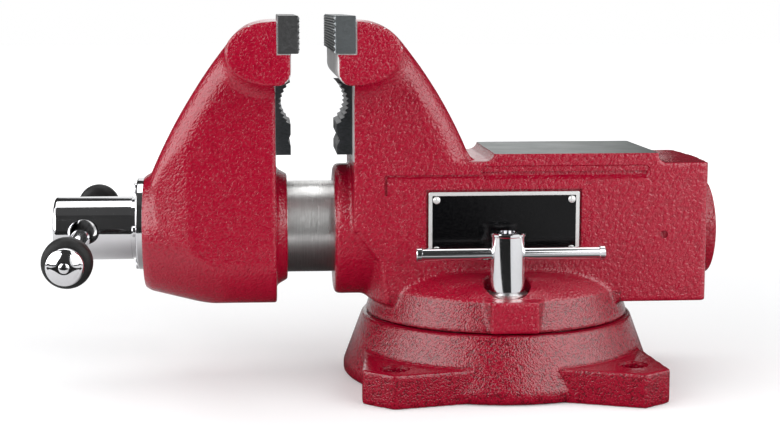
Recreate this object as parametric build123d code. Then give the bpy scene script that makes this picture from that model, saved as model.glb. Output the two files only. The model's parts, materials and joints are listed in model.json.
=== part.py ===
from build123d import *
from math import cos, pi, sin, sqrt
import os

# Swivel bench vise, millimetres, +Z up. The origin is the centre of the base's underside, on the
# swivel axis. +X points to the rear (the anvil end), so the spindle's handle is at -X.
# Every length below can be set by itself. Fits and seats are worked out from them further down.

# Main sizes of the machine
axis_height = 92.8
slide_radius = 28.3
throat_depth = 101.6
jaw_width = 165.0
jaw_opening = 19.1
fixed_face_x = -104.4
seam_height = 39.2
seam_radius = 84.0

# Clearances, and the overrun of every cut past the face it leaves
seam_gap = 0.3
run_gap = 0.05
seat_gap = 0.02
loose_gap = 0.3
overrun = 2.0

# Base casting
foot_radius = 95.8
foot_height = 7.0
foot_round = 2.0
lug_thickness = 20.0
lug_round = 4.0
lug_inner_x = 84.0
lug_inner_y = 28.0
front_lug_side_y = 83.0
front_lug_tip_y = 98.8
rear_lug_side_y = 94.0
rear_lug_tip_y = 106.5
lug_side_x = 89.3
lug_tip_x = 72.0
lug_heel_x = 23.5
lug_heel_y = 88.0
far_lug_root = 40.0
far_lug_tip = 20.0
far_lug_reach = 124.0
bolt_hole_x = 70.0
bolt_hole_y = 80.5
bolt_hole_radius = 6.75
bolt_spot_radius = 9.0
bolt_spot_depth = 1.2
slot_radius = 62.0
slot_mouth = 13.0
slot_cavity = 24.0
slot_shoulder_height = 31.0
slot_floor_height = 21.0
spigot_radius = 20.0
spigot_height = 12.0
hub_radius = 27.0
pan_radius = 77.0
pan_depth = 13.0
entry_radius = 14.6

# Swivel body casting: body block, front collar, jaw web and anvil
body_half_width = 43.0
body_floor_height = 49.8
body_top_height = 134.7
trough_height = 136.4
anvil_height = 140.7
anvil_front_x = -6.5
anvil_length = 98.5
anvil_ramp = 7.0
anvil_step = 4.5
anvil_scoop = 1.4
rear_x = 125.6
rear_crown = 2.8
rear_round = 3.0
edge_round = 2.0
nose_round = 6.0
web_setback = 12.9
web_round = 14.0
web_crest_x = -82.0
web_shoulder_x = -73.0
web_shoulder_drop = 3.2
web_slope_top_x = -63.0
web_slope_drop = 11.2
web_slope_foot_x = -22.0
web_slope_foot_height = 141.0
web_slope_bulge = 2.9
web_root_depth = 40.0
web_foot_round = 7.0
web_foot_hollow = 1.8
neck_front_radius = 86.5
neck_front_height = 76.0
neck_lip_radius = 104.0
neck_lip_height = 101.0
collar_radius = 40.6
collar_drop = 1.6
collar_round = 3.5
collar_length = 10.8
body_seam_radius = 82.2
pedestal_radius = 79.5
shoulder_radius = 76.5
shoulder_height = 57.5
shelf_radius = 43.0
shelf_height = 69.5
shelf_crown = 3.8
pad_half_front = 13.8
pad_half_back = 20.5
pad_front_y = 82.2
pad_back_y = 70.0
pad_height = 58.5
pad_draft = 4.0
spot_radius = 13.5
spot_top = 92.0

# Wide jaw heads, the same on both jaws
head_depth = 37.4
head_height = 36.4
head_nose = 26.0
head_inset = 0.4
head_corner = 8.0
head_edge = 1.2
head_neck_round = 12.0
insert_proud = 3.0
fixed_head_setback = 2.0
moving_head_setback = 4.7

# Side grooves and the plate's pocket
groove_depth = 2.2
groove_low = 126.0
groove_high = 133.8
groove_front_x = -12.0
groove_rear_x = 87.5
lip_front_x = -71.0
lip_low = 126.0
lip_high = 128.4
pocket_margin = 1.6
pocket_depth = 0.8
dimple_x = 96.5
dimple_height = 91.2
dimple_radius = 2.2
dimple_depth = 1.0

# Jaw inserts and their screws
insert_thickness = 12.4
insert_height = 21.2
insert_chamfer = 0.8
insert_screw_y = 55.0
screw_shank_radius = 4.0
screw_head_radius = 6.5
screw_head_depth = 6.5
screw_socket_radius = 3.4
screw_socket_depth = 3.5
screw_grip = 18.0

# Pipe jaws below the heads
pipe_jaw_half_width = 28.0
pipe_jaw_bottom = 139.6
pipe_jaw_depth = 9.0
pipe_arc_height = 170.5
pipe_arc_depth = 5.6
pipe_arc_half = 12.5
pipe_tooth = 1.6
pipe_teeth = 9
pipe_notch_height = 148.3
pipe_notch_depth = 1.6
pipe_notch_half = 3.5
pipe_lip_depth = 7.0
pipe_screw_y = 15.0
pipe_screw_height = 152.0
pipe_screw_radius = 3.0
pipe_screw_head_radius = 5.0
pipe_screw_head_depth = 4.0
pipe_screw_grip = 16.0
pipe_socket_radius = 2.2
pipe_socket_depth = 2.2

# Name plate, left blank, and its rivets
plate_x = -1.2
plate_length = 91.0
plate_low = 78.5
plate_high = 118.0
plate_thickness = 1.2
plate_corner = 1.0
rivet_inset = 4.7
rivet_radius = 2.2
rivet_rise = 1.0
rivet_shank_radius = 1.0
rivet_grip = 6.0

# Moving jaw casting
jaw_rear_setback = 13.7
jaw_half_width = 42.4
jaw_floor_height = 47.5
jaw_floor_round = 30.0
sleeve_drop = 2.5
jaw_front_x = -217.6
jaw_front_radius = 34.0
jaw_cheek_x = -213.8
jaw_cheek_radius = 36.4
jaw_taper_length = 45.4
jaw_taper_radius = 47.8
jaw_slope_foot_x = -212.0
jaw_slope_foot_height = 128.0
jaw_web_heel_x = -206.0
jaw_crest_x = -143.0
jaw_shoulder_x = -153.5
jaw_shoulder_drop = 2.4
jaw_slope_top_x = -161.0
jaw_slope_drop = 7.9
jaw_slope_bulge = 3.6
jaw_web_round = 15.0
boss_root_radius = 36.4
boss_tip_radius = 32.6
boss_length = 6.8

# Slide bar, a thick tube pressed into the moving jaw
slide_bore_radius = 19.0
slide_front_x = -200.0
slide_rear_x = 92.0
slide_chamfer = 1.5
key_width = 14.0
key_gap = 0.1
set_screw_x = -168.0
set_screw_radius = 4.0
set_screw_length = 20.0

# Spindle, its washers and the plate that holds it
spindle_head_front_x = -271.9
spindle_head_rear_x = -225.0
spindle_head_radius = 19.4
spindle_head_round = 2.2
spindle_neck_radius = 13.0
spindle_flange_radius = 17.0
spindle_flange_length = 5.5
spindle_radius = 12.5
spindle_rear_x = 90.0
spindle_rear_chamfer = 2.0
handle_hole_x = -253.2
handle_hole_radius = 7.7
handle_hole_flare = 1.6
thrust_washer_thickness = 2.5
front_washer_thickness = 2.4
front_washer_radius = 18.6
retainer_radius = 28.3
retainer_lift = 2.6
retainer_thickness = 4.0
retainer_round = 0.8
retainer_screw_circle = 23.3
retainer_screw_lift = 1.0
retainer_screw_count = 4
retainer_screw_radius = 2.5
retainer_screw_head_radius = 3.4
retainer_screw_head_height = 2.3
retainer_screw_grip = 14.0

# Spindle nut in the body, its bolt and the rear cap
nut_front_x = -84.0
nut_length = 43.0
nut_foot_half_length = 14.0
nut_foot_height = 57.0
nut_bolt_radius = 5.0
nut_bolt_head_radius = 8.0
nut_bolt_head_height = 8.0
nut_bolt_grip = 17.0
nut_bolt_recess = 1.5
nut_socket_radius = 4.2
nut_socket_depth = 4.5
cap_plug_length = 11.0
cap_radius = 29.0
cap_drop = 2.6
cap_rim_length = 6.8
cap_crown = 5.0

# Handle across the spindle's head
handle_radius = 5.8
handle_shift = 1.1
handle_drop = 1.1
handle_turn = 1.65
handle_lean = 0.72
handle_near_y = -116.0
handle_far_y = 112.0
ring_radius = 13.9
ring_width = 14.0
ring_round = 5.0
knob_radius = 10.3
knob_rim = 5.0
knob_crown = 6.5
knob_stub_radius = 3.6
knob_stub_length = 10.0

# Swivel locks, one on each side
lock_x = -2.0
stud_radius = 6.0
stud_head_half = 9.8
stud_head_height = 9.4
stud_reach = 15.0
washer_radius = 12.2
washer_thickness = 2.0
lock_nut_radius = 10.4
lock_nut_height = 35.8
lock_nut_chamfer = 1.6
lock_nut_rim = 0.5
lock_nut_rim_height = 2.2
lock_nut_cup_radius = 7.2
lock_nut_cup_depth = 3.0
lock_bar_height = 83.6
lock_bar_radius = 3.8
lock_bar_length = 112.0
lock_bar_end_radius = 4.5
lock_bar_end_length = 3.6

# Sizes that follow from the ones above
jaw_top = axis_height + slide_radius + throat_depth
moving_face_x = fixed_face_x - jaw_opening
web_front_x = fixed_face_x + web_setback
jaw_rear_x = moving_face_x - jaw_rear_setback
head_top = jaw_top - insert_proud
head_half_width = jaw_width / 2 - head_inset
base_top = seam_height - seam_gap
anvil_rear_x = anvil_front_x + anvil_length
bore_radius = slide_radius + run_gap
spindle_flange_front_x = jaw_front_x + loose_gap
spindle_flange_rear_x = spindle_flange_front_x + spindle_flange_length
thrust_front_x = spindle_flange_rear_x + loose_gap
thrust_rear_x = thrust_front_x + thrust_washer_thickness
retainer_front_x = jaw_front_x - retainer_thickness
far_hole_y = sqrt(bolt_hole_x**2 + bolt_hole_y**2)
set_screw_low = jaw_floor_height + seat_gap
nut_foot_x = nut_front_x + nut_length / 2
washer_top = pad_height + washer_thickness
lock_nut_base = washer_top
stud_top = pad_height + stud_reach
FRONT, REAR = -1, 1
NEAR, FAR = -1, 1

spindle_line = Location((0, 0, axis_height))
sleeve_line = Location((0, 0, axis_height - sleeve_drop))
cap_line = Location((0, 0, axis_height - cap_drop))
handle_line = Location(
    (handle_hole_x - handle_shift, 0, axis_height - handle_drop), (handle_lean, 0, handle_turn))


def bar_x(radius, start_x, end_x, y=0.0, height=None):
    """A round bar along X, on the spindle axis unless another height is given."""
    height = axis_height if height is None else height
    middle = (start_x + end_x) / 2
    return Location((middle, y, height), (0, 90, 0)) * Cylinder(radius, abs(end_x - start_x))


def bar_y(radius, start_y, end_y, x, height):
    """A round bar along Y."""
    middle = (start_y + end_y) / 2
    return Location((x, middle, height), (90, 0, 0)) * Cylinder(radius, abs(end_y - start_y))


def bar_z(radius, low, high, x=0.0, y=0.0):
    """A round bar along Z."""
    return Location((x, y, (low + high) / 2)) * Cylinder(radius, high - low)


def block(low_x, high_x, low_y, high_y, low_z, high_z):
    """A box between two corners."""
    middle = ((low_x + high_x) / 2, (low_y + high_y) / 2, (low_z + high_z) / 2)
    return Location(middle) * Box(high_x - low_x, high_y - low_y, high_z - low_z)


def turned_z(points):
    """A solid turned about Z from (radius, height) points."""
    outline = make_face(Polyline(*[(r, 0, z) for r, z in points], close=True))
    return revolve(outline, Axis.Z)


def turned_x(points, line=spindle_line):
    """A solid turned from (x, radius) points about the spindle axis, or about another line."""
    outline = make_face(Polyline(*[(x, 0, r) for x, r in points], close=True))
    return line * revolve(outline, Axis.X)


def side_plate(edges, half_width):
    """A side view outline in the XZ plane, made as thick as the casting is wide."""
    outline = make_face(edges)
    return extrude(outline, amount=half_width, dir=(0, 1, 0), both=True)


def hex_socket_x(radius, start_x, end_x, y, height):
    """The hexagon socket of a screw that lies along X."""
    face = Plane(origin=(start_x, y, height), z_dir=(1, 0, 0)) * RegularPolygon(radius, 6)
    return extrude(face, amount=end_x - start_x)


def bulged(start, end, bulge):
    """A shallow arc between two points of the side view, standing out by the bulge."""
    run, rise = end[0] - start[0], end[1] - start[1]
    length = sqrt(run**2 + rise**2)
    middle_x = (start[0] + end[0]) / 2 - rise / length * bulge
    middle_z = (start[1] + end[1]) / 2 + run / length * bulge
    return ThreePointArc((start[0], 0, start[1]), (middle_x, 0, middle_z), (end[0], 0, end[1]))


def chain(*points):
    """Straight edges through points of the side view."""
    return Polyline(*[(x, 0, z) for x, z in points])


def shoulder(start, middle, end):
    """The arc that turns a web's slope over into the top of its head."""
    return ThreePointArc(*[(x, 0, z) for x, z in (start, middle, end)]).edge()


def rounded_slope(outline, half_width, crest_x, foot_x, radius):
    """A web of the outline's shape, with the long edges of its slope rounded."""
    solid = side_plate(outline, half_width)
    low_x, high_x = sorted((crest_x, foot_x))
    slope = [
        e for e in solid.edges().filter_by(GeomType.CIRCLE)
        if abs(abs(e.center().Y) - half_width) < run_gap and low_x < e.center().X < high_x
    ]
    return fillet(slope, radius)


def with_neck(web, head, half_width):
    """A web joined to its head, with a round neck where its sides run in under the head."""
    solid = web + head
    neck = [
        e for e in solid.edges().filter_by(GeomType.BSPLINE)
        if abs(abs(e.bounding_box().min.Y) - half_width) < run_gap
        and abs(abs(e.bounding_box().max.Y) - half_width) < run_gap
        and e.bounding_box().min.Z > head_top - head_height - run_gap
    ]
    return fillet(neck, head_neck_round)


def jaw_head(face_x, side):
    """The wide D-shaped head of a jaw: flat towards the gap, round away from it."""
    middle_z = head_top - head_height / 2
    nose_x = face_x + side * (head_depth - head_nose)
    half = Location((nose_x + side * head_nose / 2, middle_z)) * Rectangle(head_nose, head_height)
    nose = Location((nose_x, middle_z)) * Ellipse(head_nose, head_height / 2) & half
    flat = Location(((face_x + nose_x) / 2, middle_z)) * Rectangle(abs(nose_x - face_x), head_height)
    low_corner = flat.vertices().sort_by(lambda v: abs(v.X - face_x) + v.Y)[0]
    outline = nose + fillet(low_corner, head_corner)
    solid = extrude(Plane.XZ * outline, amount=head_half_width, both=True)
    ends = [e for e in solid.edges() if abs(abs(e.center().Y) - head_half_width) < run_gap]
    return fillet(ends, head_edge)


def insert_space(face_x, side, margin):
    """The space that a jaw insert takes: from its biting face back into the head."""
    back_x = face_x + side * insert_thickness
    return block(
        min(face_x, back_x), max(face_x, back_x),
        -jaw_width / 2 - margin, jaw_width / 2 + margin,
        jaw_top - insert_height, jaw_top + margin,
    )


def jaw_screw(face_x, side, y, height, radius, head_radius, head_depth, grip, play=0.0):
    """A socket screw driven from the jaw's face; play makes it the hole instead."""
    head = bar_x(head_radius + play, face_x, face_x + side * head_depth, y, height)
    return head + bar_x(radius + play, face_x, face_x + side * (head_depth + grip), y, height)


def insert_screw_places():
    """The (y, height) of the screws of a jaw insert."""
    return [(side * insert_screw_y, jaw_top - insert_height / 2) for side in (NEAR, FAR)]


def pipe_screw_places():
    """The (y, height) of the screws of a pipe jaw."""
    return [(side * pipe_screw_y, pipe_screw_height) for side in (NEAR, FAR)]


def insert_holes(face_x, side):
    """The holes that the insert's screws need in the insert and in the head behind it."""
    return [
        jaw_screw(face_x, side, y, z, screw_shank_radius, screw_head_radius,
                  screw_head_depth, screw_grip, seat_gap)
        for y, z in insert_screw_places()
    ]


def pipe_holes(wall_x, side):
    """The holes that the pipe jaw's screws need, from its sunk heads to the web behind it."""
    face_x = wall_x - side * pipe_lip_depth
    return [
        jaw_screw(face_x, side, y, z, pipe_screw_radius, pipe_screw_head_radius,
                  pipe_screw_head_depth, pipe_screw_grip, seat_gap)
        for y, z in pipe_screw_places()
    ]


def near_lug_outline(side, side_y, tip_y):
    """Plan of one near lug, on the side of -X or +X."""
    corners = [
        (lug_inner_x, -lug_inner_y),
        (lug_side_x, -side_y),
        (lug_tip_x, -tip_y),
        (lug_heel_x, -lug_heel_y),
        (0, 0),
    ]
    plan = make_face(Polyline(*[(side * x, y) for x, y in corners], close=True))
    sharp = plan.vertices().sort_by(lambda v: v.X**2 + v.Y**2)[-2:]
    return fillet(sharp, lug_round)


def far_lug_outline():
    """Plan of the single lug at the far side, a guess: the photograph hides it."""
    corners = [
        (far_lug_root, lug_heel_y / 2),
        (far_lug_tip, far_lug_reach),
        (-far_lug_tip, far_lug_reach),
        (-far_lug_root, lug_heel_y / 2),
    ]
    plan = make_face(Polyline(*corners, close=True))
    sharp = plan.vertices().sort_by(Axis.Y)[-2:]
    return fillet(sharp, lug_round)


def bench_holes():
    """The (x, y) of the three holes that bolt the base to a bench."""
    return [(-bolt_hole_x, -bolt_hole_y), (bolt_hole_x, -bolt_hole_y), (0.0, far_hole_y)]


def base():
    """The base casting: a round foot with three lugs and a T-slot ring in its top."""
    foot = turned_z([
        (0, 0), (foot_radius - foot_round, 0), (foot_radius, foot_round),
        (foot_radius, foot_height), (seam_radius, base_top), (0, base_top),
    ])
    solid = foot
    for plan in (
        near_lug_outline(FRONT, front_lug_side_y, front_lug_tip_y),
        near_lug_outline(REAR, rear_lug_side_y, rear_lug_tip_y),
        far_lug_outline(),
    ):
        solid += extrude(plan, amount=lug_thickness)
    solid += bar_z(spigot_radius, base_top - overrun, base_top + spigot_height)
    mouth, cavity = slot_mouth / 2, slot_cavity / 2
    solid -= turned_z([
        (slot_radius - cavity, slot_floor_height), (slot_radius + cavity, slot_floor_height),
        (slot_radius + cavity, slot_shoulder_height), (slot_radius + mouth, slot_shoulder_height),
        (slot_radius + mouth, base_top + overrun), (slot_radius - mouth, base_top + overrun),
        (slot_radius - mouth, slot_shoulder_height), (slot_radius - cavity, slot_shoulder_height),
    ])
    solid -= turned_z([
        (hub_radius, -overrun), (pan_radius, -overrun), (pan_radius, pan_depth), (hub_radius, pan_depth),
    ])
    solid -= bar_z(entry_radius, pan_depth - overrun, slot_floor_height + overrun, slot_radius)
    for x, y in bench_holes():
        solid -= bar_z(bolt_hole_radius, -overrun, lug_thickness + overrun, x, y)
        solid -= bar_z(bolt_spot_radius, lug_thickness - bolt_spot_depth, lug_thickness + overrun, x, y)
    return solid


def body_block():
    """The long block of the swivel body, with the anvil on top and a crowned rear end."""
    front_foot = (anvil_front_x - anvil_ramp, trough_height)
    rear_foot = (anvil_rear_x + anvil_step, body_top_height)
    outline = Wire([
        *chain((anvil_front_x, anvil_height), (anvil_rear_x, anvil_height)).edges(),
        bulged((anvil_rear_x, anvil_height), rear_foot, -anvil_scoop).edge(),
        *chain(rear_foot, (rear_x, body_top_height), (rear_x, body_floor_height),
               (web_front_x, body_floor_height), (web_front_x, trough_height), front_foot).edges(),
        bulged(front_foot, (anvil_front_x, anvil_height), -anvil_scoop).edge(),
    ])
    solid = side_plate(outline, body_half_width)
    low_edges = [
        e for e in solid.edges().filter_by(Axis.X)
        if abs(e.center().Z - body_floor_height) < run_gap
    ]
    solid = fillet(low_edges, edge_round)
    front_edge = [
        e for e in solid.edges().filter_by(Axis.Y)
        if abs(e.center().Z - body_floor_height) < run_gap and e.center().X < 0
    ]
    solid = fillet(front_edge, nose_round)
    corner_x = rear_x - rear_crown
    plan = make_face([
        Line((corner_x, -body_half_width), (web_front_x - overrun, -body_half_width)),
        Line((web_front_x - overrun, -body_half_width), (web_front_x - overrun, body_half_width)),
        Line((web_front_x - overrun, body_half_width), (corner_x, body_half_width)),
        ThreePointArc((corner_x, body_half_width), (rear_x, 0), (corner_x, -body_half_width)),
    ])
    corners = plan.vertices().sort_by(Axis.X)[-2:]
    solid &= extrude(fillet(corners, rear_round), amount=anvil_height + overrun)
    return solid - (block(
        web_front_x - overrun, 0, -body_half_width - overrun, body_half_width + overrun,
        seam_height, neck_lip_height,
    ) - turned_z([
        (0, 0), (body_seam_radius, 0), (body_seam_radius, seam_height),
        (neck_front_radius, neck_front_height),
        (neck_lip_radius, neck_lip_height), (0, neck_lip_height),
    ]))


def fixed_web():
    """The web that carries the fixed jaw, with a broad rounded slope at its back."""
    top = (web_slope_top_x, head_top - web_slope_drop)
    foot = (web_slope_foot_x, web_slope_foot_height)
    root_z = body_top_height - web_root_depth
    outline = Wire([
        *chain((web_crest_x, head_top), (web_front_x, head_top), (web_front_x, root_z),
               (web_slope_foot_x, root_z), foot).edges(),
        bulged(top, foot, web_slope_bulge).edge(),
        shoulder((web_crest_x, head_top), (web_shoulder_x, head_top - web_shoulder_drop), top),
    ])
    return rounded_slope(outline, body_half_width, web_crest_x, web_slope_foot_x, web_round)


def web_foot():
    """The hollow fillet where the fixed web's slope runs out into the trough before the anvil."""
    top = (web_slope_foot_x, web_slope_foot_height)
    toe = (web_slope_foot_x + web_foot_round, trough_height)
    outline = Wire([
        *chain(toe, (web_slope_foot_x - web_foot_round, trough_height - web_foot_round),
               (web_slope_foot_x - web_foot_round, web_slope_foot_height), top).edges(),
        bulged(top, toe, -web_foot_hollow).edge(),
    ])
    return side_plate(outline, body_half_width - web_round / 2)


def body_foot():
    """The turned lower part: pedestal, cone, crowned shelf, and the two flat lock pads."""
    pedestal = bar_z(pedestal_radius, seam_height, body_floor_height + nose_round) & block(
        -pedestal_radius, pedestal_radius, -body_half_width, body_half_width,
        seam_height, body_floor_height + nose_round,
    )
    shelf = bulged((shelf_radius, shelf_height), (shoulder_radius, shoulder_height), shelf_crown)
    outline = Wire([
        *chain((shelf_radius, shelf_height), (0, shelf_height), (0, seam_height),
               (body_seam_radius, seam_height), (shoulder_radius, shoulder_height)).edges(),
        shelf.edge(),
    ])
    solid = revolve(make_face(outline), Axis.Z)
    for side in (NEAR, FAR):
        plan = make_face(Polyline(
            (-pad_half_front, side * pad_front_y), (pad_half_front, side * pad_front_y),
            (pad_half_back, side * pad_back_y), (pad_half_back, side * body_half_width / 2),
            (-pad_half_back, side * body_half_width / 2), (-pad_half_back, side * pad_back_y),
            close=True,
        ))
        pad = extrude(Location((0, 0, seam_height)) * plan, amount=pad_height - seam_height)
        wedge = make_face(Polyline(
            (0, side * pad_front_y, seam_height),
            (0, side * (pad_front_y + overrun), seam_height),
            (0, side * (pad_front_y + overrun), pad_height + overrun),
            (0, side * (pad_front_y - pad_draft), pad_height + overrun),
            close=True,
        ))
        solid += pad - extrude(wedge, amount=pad_half_back, dir=(1, 0, 0), both=True)
    return solid + pedestal


def body_grooves(side):
    """The long round-ended groove and its lip on one side wall, with the small dimple."""
    wall_y = side * body_half_width
    inner_y = wall_y - side * groove_depth
    low_y, high_y = sorted((inner_y, wall_y + side * overrun))
    half = (groove_high - groove_low) / 2
    middle_z = (groove_high + groove_low) / 2
    cut = block(groove_front_x, groove_rear_x - half, low_y, high_y, groove_low, groove_high)
    for end_x in (groove_front_x, groove_rear_x - half):
        cut += bar_y(half, low_y, high_y, end_x, middle_z)
    cut += block(lip_front_x, groove_front_x, low_y, high_y, lip_low, lip_high)
    dimple_y = sorted((wall_y - side * dimple_depth, wall_y + side * overrun))
    return cut + bar_y(dimple_radius, dimple_y[0], dimple_y[1], dimple_x, dimple_height)


def swivel_body():
    """The swivel body: fixed jaw, slide housing and anvil in one casting."""
    head_x = fixed_face_x + fixed_head_setback
    collar = bar_x(collar_radius, web_front_x - collar_length, web_front_x + web_root_depth,
                   height=axis_height - collar_drop)
    rim = collar.edges().filter_by(GeomType.CIRCLE).sort_by(Axis.X)[0]
    upper = with_neck(fixed_web(), jaw_head(head_x, REAR), body_half_width)
    solid = body_block() + upper + web_foot() + fillet(rim, collar_round) + body_foot()
    solid -= bar_x(bore_radius, web_front_x - collar_length - overrun, rear_x + overrun)
    solid -= bar_z(spigot_radius + run_gap, seam_height - overrun, base_top + spigot_height + loose_gap)
    for side in (NEAR, FAR):
        y = side * slot_radius
        solid -= bar_z(spot_radius, pad_height, spot_top, lock_x, y)
        solid -= bar_z(stud_radius + loose_gap, seam_height - overrun, pad_height + overrun, lock_x, y)
        solid -= body_grooves(side)
    solid -= block(
        plate_x - plate_length / 2 - pocket_margin, plate_x + plate_length / 2 + pocket_margin,
        -body_half_width - overrun, -body_half_width + pocket_depth,
        plate_low - pocket_margin, plate_high + pocket_margin,
    )
    for x, z in rivet_places():
        solid -= bar_y(rivet_shank_radius + seat_gap, -body_half_width - overrun,
                       -body_half_width + pocket_depth + rivet_grip, x, z)
    solid -= insert_space(fixed_face_x, REAR, overrun)
    for hole in insert_holes(fixed_face_x, REAR) + pipe_holes(web_front_x, REAR):
        solid -= hole
    solid -= nut_foot(seat_gap)
    solid -= nut_bolt_shape(seat_gap, overrun)
    return solid


def jaw_sleeve():
    """The moving jaw's lower part: tapered at the front, flat-floored with round corners behind."""
    taper_x = jaw_cheek_x + jaw_taper_length
    taper = turned_x([
        (jaw_front_x, 0), (jaw_front_x, jaw_front_radius), (jaw_cheek_x, jaw_cheek_radius),
        (taper_x, jaw_taper_radius), (jaw_rear_x, jaw_taper_radius), (jaw_rear_x, 0),
    ], sleeve_line)
    sleeve_height = axis_height - sleeve_drop
    middle = Location((0, (sleeve_height + jaw_floor_height) / 2))
    section = middle * Rectangle(2 * jaw_half_width, sleeve_height - jaw_floor_height)
    section = fillet(section.vertices().sort_by(Axis.Y)[:2], jaw_floor_round)
    trough = extrude(Plane(origin=(jaw_front_x, 0, 0), x_dir=(0, 1, 0), z_dir=(1, 0, 0)) * section,
                     amount=jaw_rear_x - jaw_front_x)
    top = block(jaw_front_x, jaw_web_heel_x + overrun, -jaw_half_width, jaw_half_width,
                sleeve_height, sleeve_height + jaw_half_width)
    return taper & (trough + top)


def jaw_plan():
    """Everything inside the moving jaw's plan, which narrows towards its front."""
    slope = (jaw_taper_radius - jaw_cheek_radius) / jaw_taper_length
    wide_x = jaw_cheek_x + (jaw_half_width - jaw_cheek_radius) / slope
    half = [
        (jaw_front_x, jaw_front_radius), (jaw_cheek_x, jaw_cheek_radius), (wide_x, jaw_half_width),
        (wide_x, head_half_width + overrun), (moving_face_x, head_half_width + overrun),
    ]
    plan = make_face(Polyline(*half, *[(x, -y) for x, y in reversed(half)], close=True))
    return extrude(plan, amount=jaw_top)


def moving_jaw():
    """The moving jaw: a tapered sleeve round the slide bar, a sloping web and the wide head."""
    boss_tip_x = jaw_rear_x + boss_length
    sleeve_height = axis_height - sleeve_drop
    boss = turned_x([
        (jaw_rear_x - overrun, 0), (jaw_rear_x - overrun, boss_root_radius),
        (jaw_rear_x, boss_root_radius), (boss_tip_x, boss_tip_radius), (boss_tip_x, 0),
    ])
    foot = (jaw_slope_foot_x, jaw_slope_foot_height)
    top = (jaw_slope_top_x, head_top - jaw_slope_drop)
    outline = Wire([
        *chain((jaw_crest_x, head_top), (jaw_rear_x, head_top), (jaw_rear_x, sleeve_height),
               (jaw_web_heel_x, sleeve_height), foot).edges(),
        bulged(foot, top, jaw_slope_bulge).edge(),
        shoulder(top, (jaw_shoulder_x, head_top - jaw_shoulder_drop), (jaw_crest_x, head_top)),
    ])
    web = rounded_slope(outline, jaw_half_width, jaw_slope_foot_x, jaw_crest_x, jaw_web_round)
    head_x = moving_face_x - moving_head_setback
    upper = with_neck(web, jaw_head(head_x, FRONT), jaw_half_width)
    solid = jaw_sleeve() + (upper & jaw_plan()) + boss
    solid -= bar_x(slide_radius + seat_gap, slide_front_x, boss_tip_x + overrun)
    solid -= bar_x(spindle_flange_radius + loose_gap, jaw_front_x - overrun, thrust_rear_x)
    solid -= bar_x(spindle_radius + loose_gap, thrust_rear_x - overrun, slide_front_x + overrun)
    for y, z in retainer_screw_places():
        solid -= bar_x(retainer_screw_radius + seat_gap, jaw_front_x - overrun,
                       jaw_front_x + retainer_screw_grip, y, z)
    solid -= insert_space(moving_face_x, FRONT, overrun)
    for hole in insert_holes(moving_face_x, FRONT) + pipe_holes(jaw_rear_x, FRONT):
        solid -= hole
    return solid - set_screw_shape(seat_gap, overrun)


def jaw_insert(face_x, side):
    """One replaceable jaw insert, drilled for its two screws."""
    solid = insert_space(face_x, side, 0)
    bite = [
        e for e in solid.edges()
        if abs(e.center().X - face_x) < run_gap
    ]
    solid = chamfer(bite, insert_chamfer)
    for hole in insert_holes(face_x, side):
        solid -= hole
    return solid


def insert_screws(face_x, side):
    """The two socket screws of a jaw insert."""
    screws = []
    for y, z in insert_screw_places():
        screw = jaw_screw(face_x + side * insert_chamfer, side, y, z, screw_shank_radius,
                          screw_head_radius, screw_head_depth - insert_chamfer, screw_grip)
        socket = hex_socket_x(screw_socket_radius, face_x + side * insert_chamfer,
                              face_x + side * (insert_chamfer + screw_socket_depth), y, z)
        screws.append(screw - socket)
    return Compound(children=screws)


def pipe_jaw(wall_x, side):
    """One toothed pipe jaw, on the web below the head."""
    top = head_top - head_height - loose_gap
    face_x = wall_x - side * pipe_jaw_depth
    points = [(wall_x, pipe_jaw_bottom), (face_x, pipe_jaw_bottom)]
    points += [
        (face_x, pipe_notch_height - pipe_notch_half),
        (face_x + side * pipe_notch_depth, pipe_notch_height),
        (face_x, pipe_notch_height + pipe_notch_half),
    ]
    for step in range(2 * pipe_teeth + 1):
        share = step / pipe_teeth - 1
        depth = pipe_arc_depth * (1 - share**2) + (pipe_tooth if step % 2 else 0)
        points.append((face_x + side * depth, pipe_arc_height + share * pipe_arc_half))
    points += [(face_x + side * pipe_notch_depth, top), (wall_x, top)]
    solid = side_plate(Polyline(*[(x, 0, z) for x, z in points], close=True), pipe_jaw_half_width)
    for hole in pipe_holes(wall_x, side):
        solid -= hole
    for y, z in pipe_screw_places():
        solid -= bar_x(pipe_screw_head_radius + seat_gap, face_x - side * overrun,
                       wall_x - side * (pipe_lip_depth - seat_gap), y, z)
    return solid


def pipe_jaw_screws(wall_x, side):
    """The two socket screws of a pipe jaw."""
    face_x = wall_x - side * pipe_lip_depth
    screws = []
    for y, z in pipe_screw_places():
        screw = jaw_screw(face_x, side, y, z, pipe_screw_radius, pipe_screw_head_radius,
                          pipe_screw_head_depth, pipe_screw_grip)
        socket = hex_socket_x(pipe_socket_radius, face_x, face_x + side * pipe_socket_depth, y, z)
        screws.append(screw - socket)
    return Compound(children=screws)


def slide_bar():
    """The round slide bar, bored for the spindle and slotted below for the nut's foot."""
    solid = bar_x(slide_radius, slide_front_x, slide_rear_x)
    solid = chamfer(solid.edges().filter_by(GeomType.CIRCLE), slide_chamfer)
    solid -= bar_x(slide_bore_radius, slide_front_x - overrun, slide_rear_x + overrun)
    closed_travel = jaw_opening + overrun
    solid -= block(
        nut_foot_x - nut_foot_half_length - closed_travel, slide_rear_x + overrun,
        -key_width / 2 - key_gap, key_width / 2 + key_gap,
        axis_height - slide_radius - overrun, axis_height - slide_bore_radius / 2,
    )
    return solid - set_screw_shape(seat_gap, 0)


def set_screw_shape(play, reach):
    """The screw under the sleeve that locks the slide bar; play and reach make it the hole."""
    return bar_z(set_screw_radius + play, set_screw_low - reach,
                 set_screw_low + set_screw_length + play, set_screw_x)


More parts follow.
